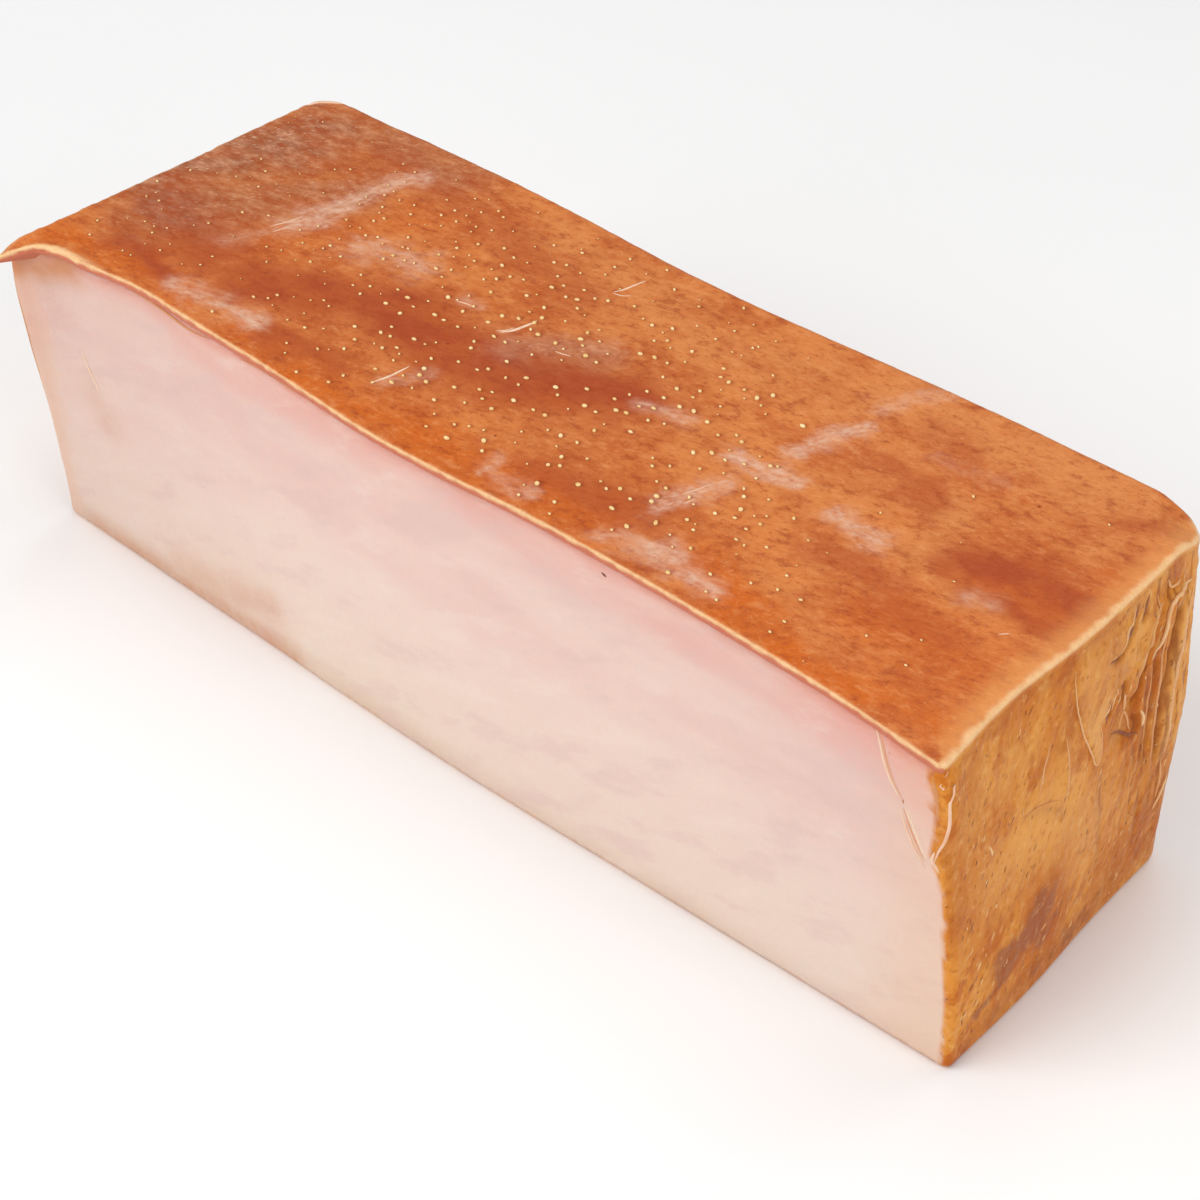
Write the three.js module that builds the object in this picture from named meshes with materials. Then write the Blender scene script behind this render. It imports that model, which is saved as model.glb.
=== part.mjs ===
// A block of smoked pork back fat, lying on its flat underside with the rind on top.
// The long front side is a fresh knife cut. The two ends and the back keep their smoked surface.
// Millimetres, +X along the block, -Y the fresh-cut side, +Z up, origin under the middle of the block.
// The block starts as a box, whose edges are rounded and whose faces are then pushed to their true form.

import * as THREE from 'three';
import { mergeVertices } from 'three/addons/utils/BufferGeometryUtils.js';

const { lerp, smoothstep, clamp } = THREE.MathUtils;

// Driving dimensions
const LENGTH = 218;
const WIDTH = 71;
const HEIGHT = 68;
const RIND = 1.8;
const HALF_LENGTH = LENGTH / 2;
const HALF_WIDTH = WIDTH / 2;

// Radii of the four upright corners, seen from above
const CORNER_FRONT_LEFT = 1.2;
const CORNER_FRONT_RIGHT = 1.5;
const CORNER_BACK_RIGHT = 6;
const CORNER_BACK_LEFT = 6.5;

// Radii of the edges round the rind and round the underside
const EDGE_FRONT = 0.5;
const EDGE_RIGHT = 1.6;
const EDGE_BACK = 1.5;
const EDGE_LEFT = 1.2;
const EDGE_UNDER = 1.5;

// Facets along the block and across it, and how strongly they crowd towards the edges
const FACETS_LONG = 36;
const FACETS_ACROSS = 30;
const CROWDING_LONG = 0.7;
const CROWDING_ACROSS = 0.35;

// Levels of the facets: even over the sides, close together at the rind's cut edge
const LEVELS_UP_THE_SIDE = 15;
const LEVELS_BELOW_RIM = [6.5, 4.2, 2.7, RIND + 0.2, RIND, 0.7, 0];

// A smooth line through a few [place, value] points
function smoothLine(points) {
  const places = points.map(([place]) => place);
  const values = points.map(([, value]) => value);
  const line = new THREE.CubicInterpolant(places, values, 1);
  return (place) => line.evaluate(place)[0];
}

// Plan lines of the four sides, at the rind and at the underside
const frontAtRind = smoothLine([
  [-109, -41.4], [-105, -37], [-100.5, -34.3], [-92, -33.2], [-79, -31.6], [-62, -32.2], [-35, -33.2],
  [-18, -34.1], [0, -33.7], [20, -32.3], [45, -32.1], [70, -32.8], [90, -33.5], [109, -35.2],
]);
const frontAtFoot = smoothLine([
  [-109, -32.6], [-60, -33.6], [0, -34.6], [40, -33.6], [82, -32.4], [109, -31.6],
]);
const backAtRind = smoothLine([[-109, 39.2], [-50, 39.2], [0, 37.6], [28, 38.1], [60, 38.9], [109, 38.9]]);
const backAtFoot = smoothLine([[-109, 36.4], [0, 35.6], [109, 35.4]]);
const rightAtRind = smoothLine([
  [-36, 105.4], [-18, 103.9], [-2, 104.8], [8, 104.9], [29, 104.1], [36, 103.6],
]);
const rightAtFoot = smoothLine([[-36, 110], [-10, 109.5], [9, 108], [28, 107.2], [36, 106.9]]);
const leftAtRind = smoothLine([[-36, -109.4], [-26, -107.8], [2, -105.8], [17, -105.4], [36, -104.3]]);
const leftAtFoot = smoothLine([[-36, -109], [0, -107.4], [36, -105.6]]);

// Height of the rind: level along the front, rising to the back right
const RIM_FRONT = 66.9;
const RISE_BACK_LEFT = 0.4;
const RISE_BACK_RIGHT = 3.6;

// The rind rounds off over the back right corner, and its front left corner droops like a small ear
const CORNER_FALL = 3;
const CORNER_REACH = 12;
const EAR_DROOP = 2.2;
const EAR_REACH = 6;
const EAR_JUT = 2.2;

// The rind's cut edge overhangs the fat, which is tucked in deepest right below it
const OVERHANG = 0.8;
const TUCK = 0.5;
const TUCK_REACH = 2.5;

// The end face leans out towards its foot, and is upright below these heights
const UPRIGHT_BELOW_FRONT = 15;
const UPRIGHT_BELOW_BACK = 36;

// Knife strokes down the smoked end face: [y, z] at the head and the foot, half width, depth.
// A stroke of less than no depth is a ridge.
const STROKES = [
  { head: [22.3, 62], foot: [20.6, 36], half: 1.7, depth: 1.1 },
  { head: [31.4, 64], foot: [29.2, 12], half: 1.9, depth: 1.2 },
  { head: [26.9, 63], foot: [23.8, 47], half: 1.6, depth: -0.7 },
  { head: [12.5, 60], foot: [14.5, 47], half: 1.6, depth: 0.6 },
  { head: [2.6, 52], foot: [-6.5, 42], half: 1.8, depth: 0.5 },
  { head: [34.8, 62], foot: [33.6, 24], half: 1.5, depth: -0.7 },
];
const STROKE_FADE = 4;

// A tongue of fat smeared down the end face, and the torn hollow beside it
const TONGUE = { head: [6.6, 60], tip: [9, 37], half: 5.2, height: 1, rim: 0.9 };
const TEAR = { middle: [16.6, 43.5], radii: [5.2, 9.5], depth: 1.1 };

// A peeled flap, proud of the cut side, between a slanted knife line and the bulging corner
const FLAP = { head: [92.6, 66], foot: [103.4, 46.5], height: 0.7, rim: 0.9 };
const BULGE = { out: 2.1, middle: 57, half: 8.5, from: -28, full: -35 };

// Soft swellings of the fresh-cut side and of the rind, and their lengths along and across
const CUT_SWELL = { height: 0.45, along: 17, up: 15, skew: 60 };
const RIND_SWELL = { height: 0.3, along: 21, across: 13, skew: 90 };

// Relief dies out over these distances from the underside and from the rind
const FADE_FOOT = 6;
const FADE_RIM = 5;

// The foot curves in to a flat underside, whose sides are a little hollow, so that its corners bear
const FLAT_INSET = 1.5;
const FLAT_HOLLOW = 0.3;

// How far down a slanted feature a height lies, from 0 at its head to 1 at its foot
function wayDown(z, head, foot) {
  return clamp((head - z) / (head - foot), 0, 1);
}

function strokeRelief(y, z, { head, foot, half, depth }) {
  const middle = lerp(head[0], foot[0], wayDown(z, head[1], foot[1]));
  const across = (y - middle) / half;
  const footFade = smoothstep(z, foot[1] - STROKE_FADE, foot[1] + STROKE_FADE);
  const headFade = 1 - smoothstep(z, head[1] - STROKE_FADE / 2, head[1] + STROKE_FADE / 2);
  return -depth * Math.exp(-across * across) * footFade * headFade;
}

function tongueRelief(y, z) {
  const { head, tip, half, height, rim } = TONGUE;
  const down = wayDown(z, head[1], tip[1]);
  const halfHere = half * Math.sqrt(1 - down * down) + rim / 2;
  const fromMiddle = Math.abs(y - lerp(head[0], tip[0], down));
  const inside = 1 - smoothstep(fromMiddle, halfHere - rim, halfHere + rim);
  return height * inside * smoothstep(down, 0, rim / 2) * smoothstep(z, tip[1] - rim, tip[1] + rim);
}

function tearRelief(y, z) {
  const { middle, radii, depth } = TEAR;
  const reach = Math.hypot((y - middle[0]) / radii[0], (z - middle[1]) / radii[1]);
  return -depth * (1 - smoothstep(reach, 0.55, 1.05));
}

function bulgeRelief(y, z) {
  const fromMiddle = clamp((z - BULGE.middle) / BULGE.half, -1, 1);
  const nearCorner = 1 - smoothstep(y, BULGE.full, BULGE.from);
  return BULGE.out * Math.cos((fromMiddle * Math.PI) / 2) * nearCorner;
}

function endRelief(y, z) {
  const strokes = STROKES.reduce((sum, stroke) => sum + strokeRelief(y, z, stroke), 0);
  const fade = smoothstep(z, 1, FADE_FOOT) * (1 - smoothstep(z, HEIGHT - FADE_RIM, HEIGHT - 1));
  return (strokes + tongueRelief(y, z) + tearRelief(y, z) + bulgeRelief(y, z)) * fade;
}

function cutRelief(x, z) {
  const { head, foot, height, rim } = FLAP;
  const wave = Math.sin(x / CUT_SWELL.along + z / CUT_SWELL.up / 2);
  const swell = CUT_SWELL.height * wave * Math.sin(z / CUT_SWELL.up - x / CUT_SWELL.skew);
  const pastKnifeLine = x - lerp(head[0], foot[0], wayDown(z, head[1], foot[1]));
  const flap = height * smoothstep(pastKnifeLine, -rim, rim) * smoothstep(z, foot[1] - rim, foot[1] + rim);
  const fade = smoothstep(z, 0, FADE_FOOT) * (1 - smoothstep(z, HEIGHT - FADE_RIM, HEIGHT - RIND));
  return (swell + flap) * fade;
}

// How far the fat lies behind the rind's cut edge
function ledge(x, z) {
  const underRind = HEIGHT - RIND - z;
  const ear = EAR_JUT * (1 - smoothstep(x, -HALF_LENGTH, EAR_REACH - HALF_LENGTH));
  return underRind > 0.1 ? OVERHANG + ear + TUCK * Math.exp(-underRind / TUCK_REACH) : 0;
}

function frontFace(x, z) {
  const upright = smoothstep(z, 0, HEIGHT);
  return lerp(frontAtFoot(x), frontAtRind(x) + ledge(x, z), upright) - cutRelief(x, z);
}

function backFace(x, z) {
  return lerp(backAtFoot(x), backAtRind(x), smoothstep(z, 0, HEIGHT));
}

function rightFace(y, z) {
  const upright = lerp(UPRIGHT_BELOW_FRONT, UPRIGHT_BELOW_BACK, y / WIDTH + 0.5);
  const lean = clamp((z - upright) / (HEIGHT - upright), 0, 1);
  return lerp(rightAtFoot(y), rightAtRind(y), lean) + endRelief(y, z);
}

function leftFace(y, z) {
  return lerp(leftAtFoot(y), leftAtRind(y), z / HEIGHT);
}

function rindHeight(x, y) {
  const { height, along, across, skew } = RIND_SWELL;
  const rise = (y / WIDTH + 0.5) * lerp(RISE_BACK_LEFT, RISE_BACK_RIGHT, x / LENGTH + 0.5);
  const swell = height * Math.sin(x / along + 1) * Math.cos(y / across - x / skew);
  const toEar = Math.hypot(x + HALF_LENGTH, y + HALF_WIDTH) / EAR_REACH;
  const toCorner = Math.hypot(x - HALF_LENGTH, y - HALF_WIDTH) / CORNER_REACH;
  const ear = EAR_DROOP * (1 - smoothstep(toEar, 0, 1));
  const corner = CORNER_FALL * (1 - smoothstep(toCorner, 0, 1));
  return RIM_FRONT + rise + swell - ear - corner;
}

// The radius of the upright corner in whose quarter of the block a point lies
function cornerRadius(x, y) {
  if (y < 0) {
    return x < 0 ? CORNER_FRONT_LEFT : CORNER_FRONT_RIGHT;
  }
  return x < 0 ? CORNER_BACK_LEFT : CORNER_BACK_RIGHT;
}

// Rounds the upright corners: the square grid of each corner is bent into a quarter disc
function roundCorners(x, y) {
  const radius = cornerRadius(x, y);
  const s = (Math.abs(x) - HALF_LENGTH + radius) / radius;
  const t = (Math.abs(y) - HALF_WIDTH + radius) / radius;
  if (s <= 0 || t <= 0) {
    return [x, y];
  }
  const bentX = HALF_LENGTH - radius + radius * s * Math.sqrt(1 - (t * t) / 2);
  const bentY = HALF_WIDTH - radius + radius * t * Math.sqrt(1 - (s * s) / 2);
  return [Math.sign(x) * bentX, Math.sign(y) * bentY];
}

// How deep a point lies inside the plan outline, and the way out from there
function insideOutline(x, y) {
  const radius = cornerRadius(x, y);
  const overX = Math.abs(x) - HALF_LENGTH + radius;
  const overY = Math.abs(y) - HALF_WIDTH + radius;
  if (overX > 0 && overY > 0) {
    const out = new THREE.Vector2(Math.sign(x) * overX, Math.sign(y) * overY);
    return { depth: radius - out.length(), out: out.normalize() };
  }
  const out = overX > overY ? new THREE.Vector2(Math.sign(x), 0) : new THREE.Vector2(0, Math.sign(y));
  return { depth: radius - Math.max(overX, overY), out };
}

// The radius of the edge on the side that faces `out`: the squares of its two parts add up to one
function edgeRadius(out, isTop) {
  const end = out.x > 0 ? EDGE_RIGHT : EDGE_LEFT;
  const side = out.y > 0 ? EDGE_BACK : EDGE_FRONT;
  return isTop ? out.x * out.x * end + out.y * out.y * side : EDGE_UNDER;
}

// Rounds the edges round the rind and the underside. The upright faces take up one half of each
// arc, and the flat faces the other.
function roundEdges(x, y, z) {
  const { depth, out } = insideOutline(x, y);
  const isTop = z > HEIGHT / 2;
  const radius = edgeRadius(out, isTop);
  const fromFlat = isTop ? HEIGHT - z : z;
  const reach = Math.max(depth, fromFlat);
  if (reach >= radius) {
    return [x, y, z];
  }
  const turn = (1 - reach / radius) * (Math.PI / 4);
  const angle = fromFlat > 0 ? turn : Math.PI / 2 - turn;
  const move = depth - radius * (1 - Math.cos(angle));
  const drop = radius * (1 - Math.sin(angle));
  return [x + out.x * move, y + out.y * move, isTop ? HEIGHT - drop : drop];
}

// Pushes a point of the rounded box to where it lies on the real block
function pushToForm(x, y, z) {
  const realX = lerp(leftFace(y, z), rightFace(y, z), x / LENGTH + 0.5);
  const realY = lerp(frontFace(x, z), backFace(x, z), y / WIDTH + 0.5);
  return [realX, realY, (z * rindHeight(x, y)) / HEIGHT];
}

// A side of the flat that the block stands on: straight from corner to corner, but for its hollow.
// Inward is 1 or -1, the way from this side to the middle of the block.
function flatSide(line, half, inward) {
  return (place) => {
    const straight = lerp(line(-half), line(half), place / half / 2 + 0.5);
    return straight + inward * (FLAT_INSET + FLAT_HOLLOW * (1 - (place / half) ** 2));
  };
}

const flatFront = flatSide(frontAtFoot, HALF_LENGTH, 1);
const flatBack = flatSide(backAtFoot, HALF_LENGTH, -1);
const flatRight = flatSide(rightAtFoot, HALF_WIDTH, -1);
const flatLeft = flatSide(leftAtFoot, HALF_WIDTH, 1);

function placeOnFlat(x, y) {
  const realX = lerp(flatLeft(y), flatRight(y), x / LENGTH + 0.5);
  const realY = lerp(flatFront(x), flatBack(x), y / WIDTH + 0.5);
  return [realX, realY, 0];
}

function facetLevels() {
  const foot = [0, EDGE_UNDER / 2, EDGE_UNDER];
  const rind = LEVELS_BELOW_RIM.map((below) => HEIGHT - below);
  const side = Array.from({ length: LEVELS_UP_THE_SIDE - 1 }, (_, i) => (i + 1) / LEVELS_UP_THE_SIDE);
  return [...foot, ...side.map((share) => lerp(EDGE_UNDER, rind[0], share)), ...rind];
}

// Places a facet line on a side, closer together towards both ends: `share` runs from -1 to 1
function crowdEnds(share, half, crowding) {
  return half * lerp(share, Math.sin((share * Math.PI) / 2), crowding);
}

function fatbackGeometry() {
  const levels = facetLevels();
  const steps = levels.length - 1;
  const box = new THREE.BoxGeometry(2, 2, steps, FACETS_LONG, FACETS_ACROSS, steps);
  box.deleteAttribute('normal');
  box.deleteAttribute('uv');
  const block = mergeVertices(box);
  const points = block.getAttribute('position');
  for (let i = 0; i < points.count; i += 1) {
    const gridX = crowdEnds(points.getX(i), HALF_LENGTH, CROWDING_LONG);
    const gridY = crowdEnds(points.getY(i), HALF_WIDTH, CROWDING_ACROSS);
    const gridZ = levels[Math.round(points.getZ(i) + steps / 2)];
    const isOnFlat = gridZ === 0 && Math.abs(points.getX(i)) < 1 && Math.abs(points.getY(i)) < 1;
    if (isOnFlat) {
      points.setXYZ(i, ...placeOnFlat(gridX, gridY));
    } else {
      const rounded = roundEdges(...roundCorners(gridX, gridY), gridZ);
      points.setXYZ(i, ...pushToForm(...rounded));
    }
  }
  block.computeBoundingBox();
  const middle = block.boundingBox.getCenter(new THREE.Vector3());
  block.translate(-middle.x, -middle.y, 0);
  block.computeVertexNormals();
  return block;
}

const freshFat = new THREE.MeshStandardMaterial({ color: 0xe9c9bb, roughness: 0.45, metalness: 0 });
const fatback = new THREE.Mesh(fatbackGeometry(), freshFat);
fatback.name = 'fatback';

const part = new THREE.Group();
part.add(fatback);

export default part;
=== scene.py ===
# A block of smoked pork back fat, with its rind on top and fresh-cut fat on its long front side.
import math

import bmesh
import bpy
import numpy as np
from mathutils import Matrix, Vector, noise
from mathutils.bvhtree import BVHTree


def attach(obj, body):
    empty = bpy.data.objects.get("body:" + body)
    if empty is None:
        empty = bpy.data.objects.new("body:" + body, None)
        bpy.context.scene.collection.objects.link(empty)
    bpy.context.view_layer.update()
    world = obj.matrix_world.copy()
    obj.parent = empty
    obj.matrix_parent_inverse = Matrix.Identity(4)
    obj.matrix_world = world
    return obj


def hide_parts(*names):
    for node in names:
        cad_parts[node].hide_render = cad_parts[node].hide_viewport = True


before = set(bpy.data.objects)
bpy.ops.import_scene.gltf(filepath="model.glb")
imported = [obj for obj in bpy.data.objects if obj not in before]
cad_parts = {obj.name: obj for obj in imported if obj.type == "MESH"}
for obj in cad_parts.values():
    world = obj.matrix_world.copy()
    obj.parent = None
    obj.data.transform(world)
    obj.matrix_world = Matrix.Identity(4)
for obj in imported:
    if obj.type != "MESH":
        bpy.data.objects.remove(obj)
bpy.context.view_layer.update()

MM = 0.001


# ---------------------------------------------------------------------------------------------------
# The block of fat. Firm back fat, cut into a block with a long knife, then cured and smoked. The front is a
# later cut through pale inner fat. The ends, the back and the underside keep their smoked skin. All its form
# is given in millimetres round the block's own middle, which lies a hair beside the frame's.

LENGTH = 218
WIDTH = 71
HEIGHT = 68
RIND = 1.8
HALF_LENGTH = LENGTH / 2
HALF_WIDTH = WIDTH / 2
FORM_MIDDLE = np.array([0.460, -0.630, 0])

# The fat's top lies hidden in the rind. Its grid is closer towards its edges, which are rounded
FAT_TOP = HEIGHT - 0.6
FAT_CELLS = (170, 80, 76)
FAT_CROWDING = 0.4
FAT_EDGES = dict.fromkeys(("front", "right", "back", "left"), 1.2)
FOOT_EDGE = 1.5
# A point of a box from -1 to 1 lies on one of its faces when it is beyond this
ON_FACE = 0.999


def lerp(start, end, share):
    return start + (end - start) * share


def smoothstep(value, low, high):
    share = np.clip((value - low) / (high - low), 0, 1)
    return share * share * (3 - 2 * share)


def smooth_line(points):
    """A smooth line through a few (place, value) points."""
    places, values = np.array(points, float).T
    secants = np.diff(values) / np.diff(places)
    slopes = np.concatenate([secants[:1], (secants[:-1] + secants[1:]) / 2, secants[-1:]])

    def line(place):
        place = np.clip(place, places[0], places[-1])
        i = np.clip(np.searchsorted(places, place) - 1, 0, len(places) - 2)
        gap = places[i + 1] - places[i]
        t = (place - places[i]) / gap
        ends = values[i] * (1 + 2 * t) * (1 - t) ** 2 + values[i + 1] * t * t * (3 - 2 * t)
        return ends + gap * (slopes[i] * t * (1 - t) ** 2 - slopes[i + 1] * t * t * (1 - t))

    return line


# Plan lines of the four sides, at the rind and at the underside
front_at_rind = smooth_line([
    (-109, -41.4), (-105, -37), (-100.5, -34.3), (-92, -33.2), (-79, -31.6), (-62, -32.2), (-35, -33.2),
    (-18, -34.1), (0, -33.7), (20, -32.3), (45, -32.1), (70, -32.8), (90, -33.5), (109, -35.2),
])
front_at_foot = smooth_line([(-109, -32.6), (-60, -33.6), (0, -34.6), (40, -33.6), (82, -32.4), (109, -31.6)])
back_at_rind = smooth_line([(-109, 39.2), (-50, 39.2), (0, 37.6), (28, 38.1), (60, 38.9), (109, 38.9)])
back_at_foot = smooth_line([(-109, 36.4), (0, 35.6), (109, 35.4)])
right_at_rind = smooth_line([(-36, 105.4), (-18, 103.9), (-2, 104.8), (8, 104.9), (29, 104.1), (36, 103.6)])
right_at_foot = smooth_line([(-36, 110), (-10, 109.5), (9, 108), (28, 107.2), (36, 106.9)])
left_at_rind = smooth_line([(-36, -109.4), (-26, -107.8), (2, -105.8), (17, -105.4), (36, -104.3)])
left_at_foot = smooth_line([(-36, -109), (0, -107.4), (36, -105.6)])

# The rind overhangs the cut fat, most at the ear on its front left corner
OVERHANG = 0.8
EAR_JUT = 2.2
EAR_DROP = 2.2
EAR_REACH = 6
TUCK = 0.5
TUCK_REACH = 2.5
# The rind's height along the front, and how far its back right corner falls
RIND_LEVEL = 66.9
CORNER_FALL = 3
CORNER_REACH = 12
# The height at which the smoked end stops being upright, at the front and at the back
LEAN_FROM = (15, 36)
# Radii of the upright corners, left and right
FRONT_CORNERS = (1.2, 1.5)
BACK_CORNERS = (6.5, 6)


def rind_height(x, y):
    """The height of the rind: level along the front, rising to the back right."""
    rise = (y / WIDTH + 0.5) * lerp(0.4, 3.6, x / LENGTH + 0.5)
    swell = 0.3 * np.sin(x / 21 + 1) * np.cos(y / 13 - x / 90)
    ear = EAR_DROP * (1 - smoothstep(np.hypot(x + HALF_LENGTH, y + HALF_WIDTH) / EAR_REACH, 0, 1))
    corner = CORNER_FALL * (1 - smoothstep(np.hypot(x - HALF_LENGTH, y - HALF_WIDTH) / CORNER_REACH, 0, 1))
    return RIND_LEVEL + rise + swell - ear - corner


def ledge(x, z):
    """How far the fat lies behind the rind's cut edge."""
    ear = EAR_JUT * (1 - smoothstep(x, -HALF_LENGTH, EAR_REACH - HALF_LENGTH))
    return OVERHANG + ear + TUCK * np.exp(-np.maximum(HEIGHT - RIND - z, 0) / TUCK_REACH)


def right_face(y, z):
    """The smoked end leans out towards its foot, and is upright further down."""
    upright = lerp(*LEAN_FROM, y / WIDTH + 0.5)
    lean = np.clip((z - upright) / (HEIGHT - upright), 0, 1)
    return lerp(right_at_foot(y), right_at_rind(y), lean)


def push_to_form(x, y, z, under_rind):
    """Pushes the points of a rounded box to where they lie on the real block."""
    swing = smoothstep(z, 0, HEIGHT)
    tucked = ledge(x, z) if under_rind else 0
    front = lerp(front_at_foot(x), front_at_rind(x) + tucked, swing)
    back = lerp(back_at_foot(x), back_at_rind(x), swing)
    left = lerp(left_at_foot(y), left_at_rind(y), z / HEIGHT)
    real_x = lerp(left, right_face(y, z), x / LENGTH + 0.5)
    real_y = lerp(front, back, y / WIDTH + 0.5)
    return np.stack([real_x, real_y, z * rind_height(x, y) / HEIGHT], axis=1)


def corner_radius(x, y):
    return np.where(y < 0, np.where(x < 0, *FRONT_CORNERS), np.where(x < 0, *BACK_CORNERS))


def round_corners(x, y):
    """Bends the square grid of each upright corner into a quarter disc."""
    radius = corner_radius(x, y)
    s = np.clip((np.abs(x) - HALF_LENGTH + radius) / radius, 0, 1)
    t = np.clip((np.abs(y) - HALF_WIDTH + radius) / radius, 0, 1)
    bent = (s > 0) & (t > 0)
    bent_x = np.sign(x) * (HALF_LENGTH - radius + radius * s * np.sqrt(1 - t * t / 2))
    bent_y = np.sign(y) * (HALF_WIDTH - radius + radius * t * np.sqrt(1 - s * s / 2))
    return np.where(bent, bent_x, x), np.where(bent, bent_y, y)


def inside_outline(x, y):
    """How deep each point lies inside the plan outline, and the way out from there."""
    radius = corner_radius(x, y)
    over_x = np.abs(x) - HALF_LENGTH + radius
    over_y = np.abs(y) - HALF_WIDTH + radius
    in_corner = (over_x > 0) & (over_y > 0)
    reach = np.where(in_corner, np.hypot(over_x, over_y), np.maximum(over_x, over_y))
    out_x = np.where(in_corner, over_x / reach, over_x > over_y) * np.sign(x)
    out_y = np.where(in_corner, over_y / reach, over_x <= over_y) * np.sign(y)
    return radius - reach, out_x, out_y


def round_edges(x, y, z, low, high, upper, lower):
    """Rounds the edges round the top and the underside. The upright faces take up half of each arc."""
    depth, out_x, out_y = inside_outline(x, y)
    is_top = z > (low + high) / 2
    end_radius = np.where(out_x > 0, upper["right"], upper["left"])
    side_radius = np.where(out_y > 0, upper["back"], upper["front"])
    radius = np.where(is_top, out_x ** 2 * end_radius + out_y ** 2 * side_radius, lower)
    from_flat = np.where(is_top, high - z, z - low)
    reach = np.maximum(depth, from_flat)
    turn = (1 - reach / radius) * (math.pi / 4)
    angle = np.where(from_flat > 1e-6, turn, math.pi / 2 - turn)
    move = np.where(reach < radius, depth - radius * (1 - np.cos(angle)), 0)
    drop = np.where(reach < radius, radius * (1 - np.sin(angle)), from_flat)
    return x + out_x * move, y + out_y * move, np.where(is_top, high - drop, low + drop)


def crowd_ends(share, crowding):
    """Draws the lines of a grid closer together towards its ends."""
    return lerp(share, np.sin(share * math.pi / 2), crowding)


def gridded_box(cells):
    """A box from -1 to 1 whose faces are cut into a grid."""
    bm = bmesh.new()
    bmesh.ops.create_cube(bm, size=2)
    for axis, count in enumerate(cells):
        along = [e for e in bm.edges if abs(e.verts[0].co[axis] - e.verts[1].co[axis]) > 1]
        bmesh.ops.subdivide_edges(bm, edges=along, cuts=count - 1, use_grid_fill=True)
    return bm


def make_one_face(bm, height):
    """Takes the grid out of the box's hidden face at this height."""
    hidden = [f for f in bm.faces if all(abs(v.co.z - height) < 1e-4 for v in f.verts)]
    bmesh.ops.dissolve_faces(bm, faces=hidden, use_verts=False)


def read_points(mesh):
    points = np.zeros(len(mesh.vertices) * 3)
    mesh.vertices.foreach_get("co", points)
    return points.reshape(-1, 3)


def write_points(mesh, points):
    mesh.vertices.foreach_set("co", ((points - FORM_MIDDLE) * MM).ravel())
    mesh.update()


def mesh_from(bm, name):
    mesh = bpy.data.meshes.new(name)
    bmesh.ops.recalc_face_normals(bm, faces=bm.faces)
    bm.to_mesh(mesh)
    bm.free()
    mesh.shade_smooth()
    return mesh


def add_piece(mesh, material):
    piece = bpy.data.objects.new(mesh.name, mesh)
    bpy.context.scene.collection.objects.link(piece)
    mesh.materials.append(material)
    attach(piece, "root")
    return piece


def paint(mesh, **shares):
    """Keeps shares for each point of the mesh, for its material to read."""
    for name, values in shares.items():
        layer = mesh.attributes.new(name, "FLOAT", "POINT")
        layer.data.foreach_set("value", np.clip(values, 0, 1).astype(np.float32))


def rough(points, size, seed, octaves=3):
    """Uneven ups and downs from -1 to 1, with grains of this size along x, y and z."""
    places = points / np.array(size) + seed * 17.3
    return np.array([noise.fractal(place, 1.0, 2.0, octaves) for place in places])


def from_line(a, b, line):
    """How far each place (a, b) is from a line of points, and how far down the line the nearest one is."""
    line = np.array(line, float)
    lengths = np.hypot(*np.diff(line, axis=0).T)
    before = np.concatenate([[0], np.cumsum(lengths)])
    nearest = np.full(len(a), np.inf)
    share = np.zeros(len(a))
    for i, length in enumerate(lengths):
        way = (line[i + 1] - line[i]) / length
        to_a = a - line[i][0]
        to_b = b - line[i][1]
        down = np.clip(to_a * way[0] + to_b * way[1], 0, length)
        away = np.hypot(to_a - way[0] * down, to_b - way[1] * down)
        closer = away < nearest
        nearest = np.where(closer, away, nearest)
        share = np.where(closer, (before[i] + down) / before[-1], share)
    return nearest, share


TAPER = 0.15


def stroke_shapes(a, b, strokes):
    """Each stroke's height, and its shape from 0 to 1: round across and thinned out towards its ends."""
    for line, half, height in strokes:
        away, share = from_line(a, b, line)
        taper = smoothstep(share, 0, TAPER) * (1 - smoothstep(share, 1 - TAPER, 1))
        yield height, np.exp(-(away / half) ** 2) * taper


def patches(a, b, marks):
    """Soft patches round lines of points, each with its half width and its strength."""
    shade = np.zeros(len(a))
    for line, half, strength in marks:
        away, _ = from_line(a, b, line)
        shade = np.maximum(shade, strength * np.exp(-(away / half) ** 2))
    return shade


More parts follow.
